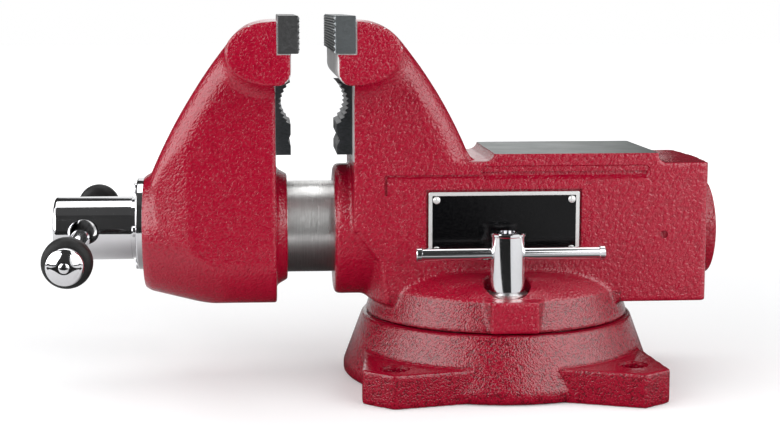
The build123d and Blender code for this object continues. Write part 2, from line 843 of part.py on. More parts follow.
def slide_set_screw():
    """The set screw with its socket."""
    socket = Location((set_screw_x, 0, set_screw_low)) * extrude(
        RegularPolygon(set_screw_radius / 2, 6), amount=set_screw_radius)
    return set_screw_shape(0, 0) - socket


def spindle():
    """The spindle: a round head drilled for the handle, a neck, the thrust flange and the screw."""
    solid = bar_x(spindle_head_radius, spindle_head_front_x, spindle_head_rear_x)
    solid = fillet(solid.edges().filter_by(GeomType.CIRCLE).sort_by(Axis.X)[0], spindle_head_round)
    solid += bar_x(spindle_neck_radius, spindle_head_rear_x - overrun, spindle_flange_front_x + overrun)
    solid += bar_x(spindle_flange_radius, spindle_flange_front_x, spindle_flange_rear_x)
    screw = bar_x(spindle_radius, spindle_flange_rear_x - overrun, spindle_rear_x)
    solid += chamfer(
        screw.edges().filter_by(GeomType.CIRCLE).sort_by(Axis.X)[-1], spindle_rear_chamfer)
    reach = spindle_head_radius + overrun
    solid -= bar_y(handle_hole_radius, -reach, reach, handle_hole_x, axis_height)
    for side in (NEAR, FAR):
        flare = Cone(handle_hole_radius, handle_hole_radius + handle_hole_flare + overrun,
                     handle_hole_flare + overrun)
        middle_y = side * (spindle_head_radius - handle_hole_flare + (handle_hole_flare + overrun) / 2)
        solid -= Location((handle_hole_x, middle_y, axis_height), (-90 * side, 0, 0)) * flare
    return solid


def spindle_washer():
    """The washer on the spindle's neck, between its head and the retaining plate."""
    rear_x = spindle_head_rear_x + front_washer_thickness
    return bar_x(front_washer_radius, spindle_head_rear_x, rear_x) - bar_x(
        spindle_neck_radius + seat_gap, spindle_head_rear_x - overrun, rear_x + overrun)


def thrust_washer():
    """The hardened washer that takes the spindle's push, at the bottom of its counterbore."""
    return bar_x(spindle_flange_radius, thrust_front_x, thrust_rear_x) - bar_x(
        spindle_radius + loose_gap, thrust_front_x - overrun, thrust_rear_x + overrun)


def retainer_screw_places():
    """The (y, height) of the screws of the retaining plate."""
    turns = [2 * pi * i / retainer_screw_count for i in range(retainer_screw_count)]
    middle_z = axis_height + retainer_screw_lift
    return [
        (retainer_screw_circle * cos(a), middle_z + retainer_screw_circle * sin(a)) for a in turns
    ]


def retaining_plate():
    """The round plate that keeps the spindle's flange in the moving jaw."""
    solid = bar_x(retainer_radius, retainer_front_x, jaw_front_x, height=axis_height + retainer_lift)
    solid = fillet(solid.edges().filter_by(GeomType.CIRCLE).sort_by(Axis.X)[0], retainer_round)
    solid -= bar_x(spindle_neck_radius + loose_gap, retainer_front_x - overrun, jaw_front_x + overrun)
    for y, z in retainer_screw_places():
        solid -= bar_x(retainer_screw_radius + seat_gap, retainer_front_x - overrun,
                       jaw_front_x + overrun, y, z)
    return solid


def plate_screws():
    """The screws of the retaining plate, with round slotted heads."""
    screws = []
    for y, z in retainer_screw_places():
        front_x = retainer_front_x - retainer_screw_head_height
        head = bar_x(retainer_screw_head_radius, front_x, retainer_front_x, y, z)
        head = fillet(head.edges().filter_by(GeomType.CIRCLE).sort_by(Axis.X)[0],
                      retainer_screw_head_height / 3)
        half = retainer_screw_head_height / 4
        head -= block(front_x - overrun, front_x + half * 2, y - spot_radius, y + spot_radius,
                      z - half, z + half)
        shank = bar_x(retainer_screw_radius, retainer_front_x,
                      jaw_front_x + retainer_screw_grip - loose_gap, y, z)
        screws.append(head + shank)
    return Compound(children=screws)


def nut_foot(play):
    """The foot of the spindle nut, seated in the floor of the body's bore."""
    half = key_width / 2 + play
    low = nut_foot_height - play
    return block(
        nut_foot_x - nut_foot_half_length - play, nut_foot_x + nut_foot_half_length + play,
        -half, half, low, axis_height - slide_bore_radius / 2,
    )


def nut_bolt_shape(play, reach):
    """The bolt that pulls the nut's foot down; play and reach make it the hole."""
    head_low = seam_height + nut_bolt_recess
    head_high = head_low + nut_bolt_head_height
    head = bar_z(nut_bolt_head_radius + play, head_low - reach, head_high + play, nut_foot_x)
    tip = nut_foot_height + nut_bolt_grip + play
    return head + bar_z(nut_bolt_radius + play, head_high - overrun, tip, nut_foot_x)


def nut_bolt():
    """The bolt of the spindle nut, with its socket."""
    low = seam_height + nut_bolt_recess
    socket = Location((nut_foot_x, 0, low)) * extrude(
        RegularPolygon(nut_socket_radius, 6), amount=nut_socket_depth)
    return nut_bolt_shape(0, 0) - socket


def spindle_nut():
    """The bronze nut: a round barrel inside the slide bar, on a foot that also keys the bar."""
    rear_x = nut_front_x + nut_length
    solid = bar_x(slide_bore_radius - loose_gap, nut_front_x, rear_x) + nut_foot(0)
    solid -= bar_x(spindle_radius + run_gap, nut_front_x - overrun, rear_x + overrun)
    return solid - nut_bolt_shape(seat_gap, 0)


def rear_cap():
    """The domed cap pressed into the rear end of the bore; its rim hangs a little low."""
    plug_x = rear_x - rear_crown - cap_plug_length
    rim_x = rear_x + cap_rim_length
    tip_x = rim_x + cap_crown
    dome_radius = (cap_radius**2 + cap_crown**2) / (2 * cap_crown)
    middle_x = tip_x - dome_radius + sqrt(dome_radius**2 - (cap_radius / 2)**2)
    outline = Wire([
        *Polyline((tip_x, 0, 0), (rear_x, 0, 0), (rear_x, 0, cap_radius),
                  (rim_x, 0, cap_radius)).edges(),
        ThreePointArc((rim_x, 0, cap_radius), (middle_x, 0, cap_radius / 2), (tip_x, 0, 0)).edge(),
    ])
    rim = cap_line * revolve(make_face(outline), Axis.X)
    return rim + bar_x(bore_radius - seat_gap, plug_x, rear_x + cap_rim_length / 2) & block(
        plug_x, tip_x + overrun, -cap_radius, cap_radius,
        axis_height - cap_drop - cap_radius, axis_height + bore_radius,
    )


def rivet_places():
    """The (x, height) of the rivets of the name plate."""
    half = plate_length / 2 - rivet_inset
    return [
        (plate_x + side * half, z)
        for side in (FRONT, REAR)
        for z in (plate_low + rivet_inset, plate_high - rivet_inset)
    ]


def name_plate():
    """The blank name plate on the near side wall."""
    back_y = -body_half_width + pocket_depth
    solid = block(
        plate_x - plate_length / 2, plate_x + plate_length / 2,
        back_y - plate_thickness, back_y, plate_low, plate_high,
    )
    solid = fillet(solid.edges().filter_by(Axis.Y), plate_corner)
    for x, z in rivet_places():
        solid -= bar_y(rivet_shank_radius + seat_gap, back_y - overrun, back_y + overrun, x, z)
    return solid


def name_plate_rivets():
    """The four drive rivets of the name plate."""
    back_y = -body_half_width + pocket_depth
    face_y = back_y - plate_thickness
    dome_radius = (rivet_radius**2 + rivet_rise**2) / (2 * rivet_rise)
    rivets = []
    for x, z in rivet_places():
        ball = Location((x, face_y + dome_radius - rivet_rise, z)) * Sphere(dome_radius)
        head = ball & bar_y(rivet_radius, face_y - rivet_rise - overrun, face_y, x, z)
        shank = bar_y(rivet_shank_radius, face_y, back_y + rivet_grip - loose_gap, x, z)
        rivets.append(head + shank)
    return Compound(children=rivets)


def handle_rod(radius, start, end):
    """A round bar along the handle's own line, which rests a little askew in its hole."""
    return handle_line * bar_y(radius, start, end, 0, 0)


def handle_bar():
    """The handle: a plain round bar through the spindle's head, stepped down at both ends."""
    half = ring_width / 2
    return handle_rod(handle_radius, handle_near_y + half, handle_far_y - half) + handle_rod(
        knob_stub_radius, handle_near_y - half - knob_stub_length,
        handle_far_y + half + knob_stub_length)


def handle_ring(middle_y):
    """One rubber ring at an end of the handle."""
    half = ring_width / 2
    solid = bar_y(ring_radius, middle_y - half, middle_y + half, 0, 0)
    solid = fillet(solid.edges().filter_by(GeomType.CIRCLE), ring_round)
    return handle_line * solid - handle_rod(
        knob_stub_radius + seat_gap, middle_y - half - overrun, middle_y + half + overrun)


def handle_knob(middle_y, side):
    """One domed steel end, screwed on the handle's stub outside the ring."""
    start = middle_y + side * ring_width / 2
    rim = start + side * knob_rim
    dome_radius = (knob_radius**2 + knob_crown**2) / (2 * knob_crown)
    dome_y = rim + side * (knob_crown - dome_radius)
    reach = rim + side * (knob_crown + overrun)
    ball = handle_line * Location((0, dome_y, 0)) * Sphere(dome_radius)
    solid = handle_rod(knob_radius, start, reach) & ball
    stub_end = start + side * (knob_stub_length + seat_gap)
    return solid - handle_rod(knob_stub_radius + seat_gap, start - side * overrun, stub_end)


def lock_stud(side):
    """One lock stud: its square head rides in the base's T-slot."""
    y = side * slot_radius
    head_top_z = slot_shoulder_height - loose_gap
    head = block(
        lock_x - stud_head_half, lock_x + stud_head_half, y - stud_head_half, y + stud_head_half,
        head_top_z - stud_head_height, head_top_z,
    )
    return head + bar_z(stud_radius, head_top_z, stud_top, lock_x, y)


def lock_washer(side):
    """The washer on one lock pad."""
    y = side * slot_radius
    return bar_z(washer_radius, pad_height, washer_top, lock_x, y) - bar_z(
        stud_radius + seat_gap, pad_height - overrun, washer_top + overrun, lock_x, y)


def lock_nut(side):
    """One tall lock nut, cupped and slightly swollen at its top, drilled for its bar."""
    y = side * slot_radius
    top = lock_nut_base + lock_nut_height
    solid = bar_z(lock_nut_radius, lock_nut_base, top, lock_x, y)
    solid = chamfer(solid.edges().filter_by(GeomType.CIRCLE).sort_by(Axis.Z)[0], lock_nut_chamfer)
    rim = bar_z(lock_nut_radius + lock_nut_rim, top - lock_nut_rim_height, top, lock_x, y)
    solid += chamfer(rim.edges().filter_by(GeomType.CIRCLE), lock_nut_rim)
    solid -= bar_z(lock_nut_cup_radius, top - lock_nut_cup_depth, top + overrun, lock_x, y)
    solid -= bar_z(stud_radius + run_gap, lock_nut_base - overrun, stud_top + loose_gap, lock_x, y)
    reach = lock_nut_radius + overrun
    return solid - bar_x(lock_bar_radius + run_gap, lock_x - reach, lock_x + reach, y, lock_bar_height)


def lock_bar(side):
    """The bar through one lock nut, with upset ends."""
    y = side * slot_radius
    half = lock_bar_length / 2
    solid = bar_x(lock_bar_radius, -half, half, y, lock_bar_height)
    for end in (FRONT, REAR):
        button = bar_x(lock_bar_end_radius, end * (half - lock_bar_end_length), end * half,
                       y, lock_bar_height)
        solid += chamfer(button.edges().filter_by(GeomType.CIRCLE), lock_nut_rim)
    return solid


def main():
    """Build every piece and write it under its node's name."""
    pieces = {
        "base": base(),
        "swivel_body": swivel_body(),
        "moving_jaw": moving_jaw(),
        "slide_bar": slide_bar(),
        "slide_set_screw": slide_set_screw(),
        "spindle": spindle(),
        "spindle_washer": spindle_washer(),
        "thrust_washer": thrust_washer(),
        "retaining_plate": retaining_plate(),
        "plate_screws": plate_screws(),
        "spindle_nut": spindle_nut(),
        "nut_bolt": nut_bolt(),
        "rear_cap": rear_cap(),
        "name_plate": name_plate(),
        "name_plate_rivets": name_plate_rivets(),
        "handle_bar": handle_bar(),
    }
    for name, face_x, wall_x, side in (
        ("fixed", fixed_face_x, web_front_x, REAR),
        ("moving", moving_face_x, jaw_rear_x, FRONT),
    ):
        pieces[f"jaw_insert_{name}"] = jaw_insert(face_x, side)
        pieces[f"insert_screws_{name}"] = insert_screws(face_x, side)
        pieces[f"pipe_jaw_{name}"] = pipe_jaw(wall_x, side)
        pieces[f"pipe_jaw_screws_{name}"] = pipe_jaw_screws(wall_x, side)
    for name, side, end_y in (("near", NEAR, handle_near_y), ("far", FAR, handle_far_y)):
        pieces[f"handle_ring_{name}"] = handle_ring(end_y)
        pieces[f"handle_knob_{name}"] = handle_knob(end_y, side)
        pieces[f"lock_stud_{name}"] = lock_stud(side)
        pieces[f"lock_washer_{name}"] = lock_washer(side)
        pieces[f"lock_nut_{name}"] = lock_nut(side)
        pieces[f"lock_bar_{name}"] = lock_bar(side)
    os.makedirs("parts", exist_ok=True)
    for name, shape in pieces.items():
        export_step(shape, f"parts/{name}.step")
        print(name, round(shape.volume))


main()
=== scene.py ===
# %% [markdown]
# # A swivel bench vise, dressed for its photograph
#
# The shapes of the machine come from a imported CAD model. This lesson dresses them: it recasts
# the three big iron castings so that their edges and hollows look poured and painted, cuts the
# teeth of the jaw inserts, builds the name plate and the knobs anew, and gives every part a
# finish made only from shader nodes. Lengths are written in millimetres and placed in metres, in
# the frame of the CAD model, so nothing has to be fitted.

# %% Load the frame
import json
import math

import bmesh
import bpy
import numpy as np
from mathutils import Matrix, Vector, noise


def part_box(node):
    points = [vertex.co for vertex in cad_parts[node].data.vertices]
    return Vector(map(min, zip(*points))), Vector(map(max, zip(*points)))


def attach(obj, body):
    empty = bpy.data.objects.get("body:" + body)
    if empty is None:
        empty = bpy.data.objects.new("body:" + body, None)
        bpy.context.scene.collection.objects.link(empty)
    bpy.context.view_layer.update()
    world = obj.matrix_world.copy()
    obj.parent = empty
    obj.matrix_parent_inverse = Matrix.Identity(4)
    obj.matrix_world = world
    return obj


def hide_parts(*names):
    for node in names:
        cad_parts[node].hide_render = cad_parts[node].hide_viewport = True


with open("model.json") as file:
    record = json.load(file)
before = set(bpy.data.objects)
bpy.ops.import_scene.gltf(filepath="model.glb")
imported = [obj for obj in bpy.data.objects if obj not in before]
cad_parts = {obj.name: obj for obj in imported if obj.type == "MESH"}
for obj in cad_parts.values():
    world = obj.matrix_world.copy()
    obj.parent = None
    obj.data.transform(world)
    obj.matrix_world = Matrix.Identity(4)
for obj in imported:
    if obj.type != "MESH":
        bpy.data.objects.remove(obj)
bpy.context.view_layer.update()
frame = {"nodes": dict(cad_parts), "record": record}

nodes = frame["nodes"]
mm = 0.001

# %% [markdown]
# ## Writing a finish as sums
#
# A procedural finish is mostly arithmetic on patterns. Wiring each Math node by hand hides the
# idea, so a small class wraps one output socket and lets Python's signs add the Math nodes.
# All other nodes come from one method, which takes the node's type, its settings and the values
# or links of its sockets.

# %% A socket that can be added and multiplied


class Signal:
    """One output socket of a finish, with Python's arithmetic."""

    def __init__(self, finish, socket):
        self.finish = finish
        self.socket = socket

    def math(self, operation, *values):
        """One Math node, which the signs below call."""
        inputs = dict(enumerate(values))
        return self.finish.node("Math", {"operation": operation}, inputs)

    def __add__(self, other):
        return self.math("ADD", self, other)

    def __mul__(self, other):
        return self.math("MULTIPLY", self, other)

    def __sub__(self, other):
        return self.math("SUBTRACT", self, other)

    def __rsub__(self, other):
        return self.math("SUBTRACT", other, self)

    def __truediv__(self, other):
        return self.math("DIVIDE", self, other)

    def __pow__(self, other):
        return self.math("POWER", self, other)

    def ramp(self, low, high, low_value=0.0, high_value=1.0):
        """The signal read between two of its values, as a smooth step to two new ones."""
        inputs = {"Value": self, "From Min": low, "From Max": high,
                  "To Min": low_value, "To Max": high_value}
        settings = {"interpolation_type": "SMOOTHSTEP"}
        return self.finish.node("MapRange", settings, inputs)

    def colours(self, first, second):
        """A colour that goes from the first to the second as the signal goes from 0 to 1."""
        settings = {"data_type": "RGBA"}
        inputs = {0: self, 6: (*first, 1), 7: (*second, 1)}
        return self.finish.node("Mix", settings, inputs, output=2)


class Finish:
    """One material, or the world's node tree, with a short way to add its nodes."""

    def __init__(self, name, tree=None):
        if tree is None:
            self.material = bpy.data.materials.new(name)
            self.material.use_nodes = True
            tree = self.material.node_tree
            tree.nodes.clear()
        self.tree = tree

    def node(self, kind, settings=None, inputs=None, output=0):
        """Adds a node: its settings come first, then the values or links of its sockets."""
        made = self.tree.nodes.new("ShaderNode" + kind)
        for key, value in (settings or {}).items():
            setattr(made, key, value)
        for key, value in (inputs or {}).items():
            if isinstance(value, Signal):
                self.tree.links.new(value.socket, made.inputs[key])
            else:
                made.inputs[key].default_value = value
        return Signal(self, made.outputs[output]) if made.outputs else made

    def place(self):
        """The point on the object itself, in metres, so that a pattern rides with its part."""
        return self.node("TexCoord", output="Object")

    def grain(self, scale, detail=2.0, roughness=0.5, distortion=0.0, at=None):
        """Cloudy noise with so many features to the metre."""
        inputs = {"Vector": at or self.place(), "Scale": scale, "Detail": detail,
                  "Roughness": roughness, "Distortion": distortion}
        return self.node("TexNoise", {}, inputs)

    def stretched(self, scale_x, scale_y, scale_z):
        """The place, stretched along the axes, for brushed and turned marks."""
        inputs = {0: self.place(), 1: (scale_x, scale_y, scale_z)}
        return self.node("VectorMath", {"operation": "MULTIPLY"}, inputs)

    def along(self, axis):
        """One coordinate of the place, in metres."""
        return self.node("SeparateXYZ", {}, {0: self.place()}, output=axis)

    def facing(self, axis):
        """How far the surface looks along one axis of the object, from -1 to 1."""
        normal = self.node("TexCoord", output="Normal")
        return self.node("SeparateXYZ", {}, {0: normal}, output=axis)

    def slanted(self, angle, *scales):
        """The place, turned about the Y axis and then stretched, for a skin with a lie."""
        turned = self.node("VectorRotate", {"rotation_type": "Y_AXIS"},
                           {"Vector": self.place(), "Angle": angle})
        return self.node("VectorMath", {"operation": "MULTIPLY"}, {0: turned, 1: scales})

    def bump(self, height, distance):
        """A height from 0 to 1 as a relief so many metres high."""
        return self.node("Bump", {}, {"Height": height, "Distance": distance})

    def surface(self, **inputs):
        """The shader itself; socket names are written with underscores for spaces."""
        named = {key.replace("_", " "): value for key, value in inputs.items()}
        shader = self.node("BsdfPrincipled", {}, named)
        self.node("OutputMaterial", {}, {"Surface": shader})
        return self.material


print("a finish is an expression on", Signal.__name__, "objects")

# %% [markdown]
# ## Red enamel over cast iron
#
# The castings are sprayed with a deep red enamel. It doesn't hide the skin of the sand casting:
# the surface is pebbled at a millimetre or two, so each lamp's reflection breaks into speckles.
# The height is made from three sizes of noise: slanted pebbles, lumps of a few millimetres and
# slow waves. The colour goes darker in the pits: that is painted shade. Faces that look straight
# up were dressed flat before painting, so the pebbles and their painted shade fade there. Each
# casting came out of its own mould, so each gets its own grain: the round foot and the bell above
# it are coarsest. Their enamel is also painted darker all over, a painted shade for the weaker
# light low down.

# %% The enamel
# The second colour of each pair is painted shade for the pits. The coarse pair is painted darker
# than the other, a painted shade for the base and the bell low down.
ENAMEL = (0.35, 0.002, 0.022)
ENAMEL_PIT_SHADE = (0.29, 0.001, 0.017)
ENAMEL_COARSE_SHADED = (0.29, 0.002, 0.018)
ENAMEL_COARSE_SHADED_PIT = (0.12, 0.001, 0.007)
LIE = -0.7  # how far the pebbles slant, in radians
LUMPS = 300.0  # features to the metre
WAVES = 34.0


def enamel(name, light, deep, pebble, depth, gloss):
    """Enamel with painted shade in its pits; so many pebbles to the metre, so high, so glossy."""
    finish = Finish(name)
    level = finish.facing(2).ramp(0.88, 0.97)
    pebbles = finish.grain(1.0, detail=1.0, distortion=0.3, at=finish.slanted(LIE, *pebble))
    lumps = finish.grain(LUMPS, detail=1.0)
    waves = finish.grain(WAVES, detail=1.0)
    height = (pebbles * 0.8 + lumps * 0.4) * (1 - level * 0.85) + waves * 0.9
    # The pits get the darker colour as painted shade; faces that look up are kept clear of it.
    clear_of_pit_shade = pebbles * 0.75 + lumps * 0.25 + level * 0.2
    colour = clear_of_pit_shade.ramp(0.36, 0.54).colours(deep, light)
    return finish.surface(
        Base_Color=colour, Roughness=lumps.ramp(0.3, 0.7, *gloss), IOR=1.6,
        Normal=finish.bump(height, depth * mm))


BODY_ENAMEL = enamel("body_enamel", ENAMEL, ENAMEL_PIT_SHADE, (780.0, 780.0, 480.0), 0.85,
                     (0.14, 0.20))
JAW_ENAMEL = enamel("jaw_enamel", ENAMEL, ENAMEL_PIT_SHADE, (850.0, 850.0, 540.0), 0.62,
                    (0.10, 0.15))
# The coarse enamel is darker all over: painted shade for the base and the bell low down.
COARSE_SHADED_ENAMEL = enamel("coarse_shaded_enamel", ENAMEL_COARSE_SHADED, ENAMEL_COARSE_SHADED_PIT,
                       (1000.0, 1000.0, 900.0), 0.52, (0.05, 0.09))
print("made", BODY_ENAMEL.name, JAW_ENAMEL.name, COARSE_SHADED_ENAMEL.name)

# %% [markdown]
# ## The bare metals
#
# Bare metal is told apart by how it was worked. Chrome is smooth and mirrors the studio.
# Turned bars carry fine rings round their axis, ground faces carry straight scratches, and
# hardened or blackened steel is dark and dull. One function makes them all: it stretches noise
# along the way the tool went and uses it for the colour, the roughness and a very low bump.
# Edges just cut with a milling tool scatter light almost like chalk, so they are less metallic.

# %% One function for worked metal


def metal(name, colour, rough, spread=0.06, marks=(900.0, 900.0, 900.0), depth=0.0,
          dark=0.75, metallic=1.0):
    """Metal worked in one direction: marks are how fast the pattern changes along X, Y and Z."""
    finish = Finish(name)
    scratches = finish.grain(1.0, detail=3.0, roughness=0.6, at=finish.stretched(*marks))
    smears = finish.grain(60.0, detail=2.0)
    shade = (scratches * 0.6 + smears * 0.4).ramp(0.3, 0.7)
    tone = shade.colours(tuple(c * dark for c in colour), colour)
    gloss = shade.ramp(0.0, 1.0, rough + spread, rough - spread / 2)
    sockets = {"Base_Color": tone, "Roughness": gloss, "Metallic": metallic}
    if depth:
        sockets["Normal"] = finish.bump(scratches, depth)
    return finish.surface(**sockets)


CHROME = metal("chrome_plate", (0.80, 0.80, 0.82), 0.06, spread=0.03, dark=0.93)
TURNED = metal("turned_steel", (0.92, 0.915, 0.90), 0.30, marks=(2600.0, 60.0, 60.0),
               depth=0.05 * mm, dark=0.72)
GROUND = metal("ground_steel", (0.20, 0.225, 0.222), 0.36, marks=(40.0, 3200.0, 3200.0),
               depth=0.010 * mm, dark=0.82)
BARE_CUT = metal("machined_iron", (0.50, 0.49, 0.48), 0.34, marks=(1400.0, 1400.0, 90.0),
                 depth=0.012 * mm, dark=0.7)
HARD_STEEL = metal("hardened_steel", (0.105, 0.112, 0.12), 0.40, marks=(500.0, 900.0, 900.0),
                   depth=0.010 * mm, dark=0.6)
BLACK_SCREW = metal("blackened_screw", (0.05, 0.05, 0.055), 0.38, dark=0.6)
BRIGHT_CUT = metal("milled_edge", (0.86, 0.86, 0.85), 0.42, marks=(90.0, 1100.0, 90.0),
                   depth=0.012 * mm, dark=0.72, metallic=0.35)
RIVET_STEEL = metal("rivet_steel", (0.80, 0.80, 0.79), 0.3, dark=0.9, metallic=0.35)
BRONZE = metal("nut_bronze", (0.46, 0.27, 0.12), 0.35, marks=(1800.0, 90.0, 90.0),
               depth=0.010 * mm)
print("made", len(bpy.data.materials), "materials so far")

# %% [markdown]
# ## Two finishes that depend on the place
#
# The spindle is plated outside, but its cross hole is left rough and painted near black inside,
# a painted shade for the shadow in the hole. And the jaw inserts are hardened dark, but the tops
# of their teeth are rubbed bright by the work they hold. Both finishes read the place on the
# part:
# the distance from the hole's axis, and the depth below the biting face.

# %% The chrome with a shaded hole and the worn insert steel
AXIS = 92.8  # height of the slide and the spindle
HOLE_X = -253.2
HOLE_RADIUS = 7.7
HOLE_EDGE = 0.3
WORN_DEPTH = 0.34  # the teeth are deeper; below this they stay dark


def chrome_with_shaded_hole():
    """Chrome that ends at the edge of the spindle's cross hole, with painted shade inside it."""
    finish = Finish("spindle_chrome_shaded_hole")
    across = (finish.along(0) - HOLE_X * mm) / mm
    height = (finish.along(2) - AXIS * mm) / mm
    outside = (across ** 2 + height ** 2).ramp(HOLE_RADIUS ** 2, (HOLE_RADIUS + HOLE_EDGE) ** 2)
    smears = finish.grain(60.0, detail=2.0).ramp(0.3, 0.7)
    # Inside the hole the colour is near black: painted shade.
    tone = (outside * (smears * 0.08 + 0.92)).colours((0.02, 0.02, 0.02), (0.80, 0.80, 0.82))
    gloss = outside.ramp(0.0, 1.0, 0.5, 0.06) + smears * 0.02
    return finish.surface(Base_Color=tone, Roughness=gloss, Metallic=1.0)


def insert_steel(name, face_x, side, tone):
    """Hardened steel, worn bright within a fraction of a millimetre of the biting face."""
    finish = Finish(name)
    marks = finish.stretched(500.0, 900.0, 900.0)
    scratches = finish.grain(1.0, detail=3.0, roughness=0.6, at=marks)
    sunk = (finish.along(0) - face_x * mm) * side / mm
    worn = sunk.ramp(0.02, WORN_DEPTH, 1.0, 0.0)
    colour = (worn * 0.85 + scratches * 0.15).colours(tone, (0.82, 0.82, 0.81))
    return finish.surface(
        Base_Color=colour, Roughness=scratches.ramp(0.3, 0.7, 0.46, 0.34), Metallic=1.0,
        Normal=finish.bump(scratches, 0.010 * mm))


SPINDLE_CHROME_SHADED_HOLE = chrome_with_shaded_hole()
print("made", SPINDLE_CHROME_SHADED_HOLE.name)

# %% [markdown]
# ## Rubber and the plate's black paint
#
# The rings at the ends of the handle are moulded rubber: black, but never fully black, with a
# dull sheen and a faint pitted skin. The name plate's field is enamelled and far smoother than
# the castings around it, so it gets a low wave and a gloss, but hardly any shine of its own.

# %% Rubber and plate paint


def rubber():
    """Moulded rubber with some dust on it."""
    finish = Finish("black_rubber")
    skin = finish.grain(1500.0, detail=2.0)
    dust = finish.grain(130.0, detail=2.0).ramp(0.45, 0.75)
    colour = dust.colours((0.006, 0.006, 0.006), (0.016, 0.016, 0.016))
    return finish.surface(
        Base_Color=colour, Roughness=skin.ramp(0.3, 0.7, 0.45, 0.62), Specular_IOR_Level=0.3,
        Normal=finish.bump(skin, 0.05 * mm))


def plate_paint():
    """The smooth black field of the name plate."""
    finish = Finish("plate_black")
    wave = finish.grain(260.0, detail=1.0)
    haze = finish.grain(900.0, detail=2.0).ramp(0.35, 0.7)
    colour = haze.colours((0.0015, 0.0015, 0.002), (0.004, 0.004, 0.0045))
    return finish.surface(
        Base_Color=colour, Roughness=haze.ramp(0.0, 1.0, 0.13, 0.2), Specular_IOR_Level=0.22,
        Normal=finish.bump(wave, 0.03 * mm))


RUBBER = rubber()
PLATE_BLACK = plate_paint()
print("made", RUBBER.name, "and", PLATE_BLACK.name)

# %% [markdown]
# ## Small tools for solid shapes
#
# The castings are made from closed meshes that are joined, softened and cut. These helpers make
# a box or a round bar from two points, close any mesh from its points and faces, join rings of
# points with quads, and put an object in the scene.

# %% Boxes and bars


def box_mesh(name, low, high):
    """A closed box between two corners, in millimetres."""
    mesh = bpy.data.meshes.new(name)
    bm = bmesh.new()
    bmesh.ops.create_cube(bm, size=1.0)
    for vertex in bm.verts:
        vertex.co = [
            (lo if part < 0 else hi) * mm for part, lo, hi in zip(vertex.co, low, high)]
    bm.to_mesh(mesh)
    bm.free()
    return mesh


def bar_mesh(name, start, end, radius, sides=96):
    """A closed round bar from one point to another, in millimetres."""
    mesh = bpy.data.meshes.new(name)
    start, end = Vector(start) * mm, Vector(end) * mm
    bm = bmesh.new()
    bmesh.ops.create_cone(bm, cap_ends=True, segments=sides, radius1=radius * mm,
                          radius2=radius * mm, depth=(end - start).length)
    turn = (end - start).to_track_quat("Z", "Y").to_matrix().to_4x4()
    turn.translation = (start + end) / 2
    bm.transform(turn)
    bm.to_mesh(mesh)
    bm.free()
    return mesh


def mirrored_boxes(name, low, high):
    """The same box on the near and on the far side of the vise."""
    boxes = []
    for side in (-1, 1):
        near_y, far_y = sorted((side * low[1], side * high[1]))
        boxes.append(box_mesh(name, (low[0], near_y, low[2]), (high[0], far_y, high[2])))
    return boxes


def closed_mesh(name, points, faces):
    """A mesh from points in millimetres, with every face turned outwards."""
    mesh = bpy.data.meshes.new(name)
    mesh.from_pydata([tuple(v * mm for v in point) for point in points], [], faces)
    bm = bmesh.new()
    bm.from_mesh(mesh)
    bmesh.ops.recalc_face_normals(bm, faces=bm.faces)
    bm.to_mesh(mesh)
    bm.free()
    return mesh


def joined(rings):
    """Quads between each ring of point numbers and the next."""
    faces = []
    for near, far in zip(rings, rings[1:]):
        for k in range(len(near)):
            n = (k + 1) % len(near)
            faces.append((near[k], far[k], far[n], near[n]))
    return faces


def add_piece(name, mesh, *materials):
    """Puts a mesh in the scene with its materials."""
    piece = bpy.data.objects.new(name, mesh)
    bpy.context.scene.collection.objects.link(piece)
    mesh.materials.clear()
    for material in materials:
        mesh.materials.append(material)
    return piece


def settle(piece):
    """Turns the piece's modifiers into its own mesh."""
    bpy.context.view_layer.update()
    depsgraph = bpy.context.evaluated_depsgraph_get()
    made = bpy.data.meshes.new_from_object(piece.evaluated_get(depsgraph))
    piece.modifiers.clear()
    old, piece.data = piece.data, made
    bpy.data.meshes.remove(old)
    made.name = piece.name


print("helpers ready: box_mesh, bar_mesh, mirrored_boxes, closed_mesh, joined, add_piece")

# %% [markdown]
# ## Pouring the castings again
#
# The CAD castings are exact, with creases where one form runs into the next. A real casting has
# no crease: sand, shrinkage and paint round everything off. A voxel remesh rebuilds the solid
# from small even quads, and a few rounds of smoothing melt the creases into fillets. The faces
# that were machined after casting, such as the anvil or the insert's seat, are filled up before
# the remesh and cut back afterwards, so they stay flat with crisp edges.

# %% Remesh, soften and cut


VOXEL = 1.15
SMOOTHING = 5
SHRINKAGE = 0.16
SHRINKAGE_WIDTH = 26.0
CREASE = 38.0  # degrees


def recast(name, node, fillers=()):
    """A softened copy of a CAD casting; fillers close the places that are machined later."""
    bm = bmesh.new()
    bm.from_mesh(nodes[node].data)
    bmesh.ops.remove_doubles(bm, verts=bm.verts, dist=0.002 * mm)
    for filler in fillers:
        bm.from_mesh(filler)
    mesh = bpy.data.meshes.new(name)
    bm.to_mesh(mesh)
    bm.free()
    piece = add_piece(name, mesh)
    remesh = piece.modifiers.new("voxels", "REMESH")
    remesh.mode = "VOXEL"
    remesh.voxel_size = VOXEL * mm
    soft = piece.modifiers.new("soft", "SMOOTH")
    soft.factor = 0.5
    soft.iterations = SMOOTHING
    settle(piece)
    print(name, "recast:", len(piece.data.polygons), "faces")
    return piece


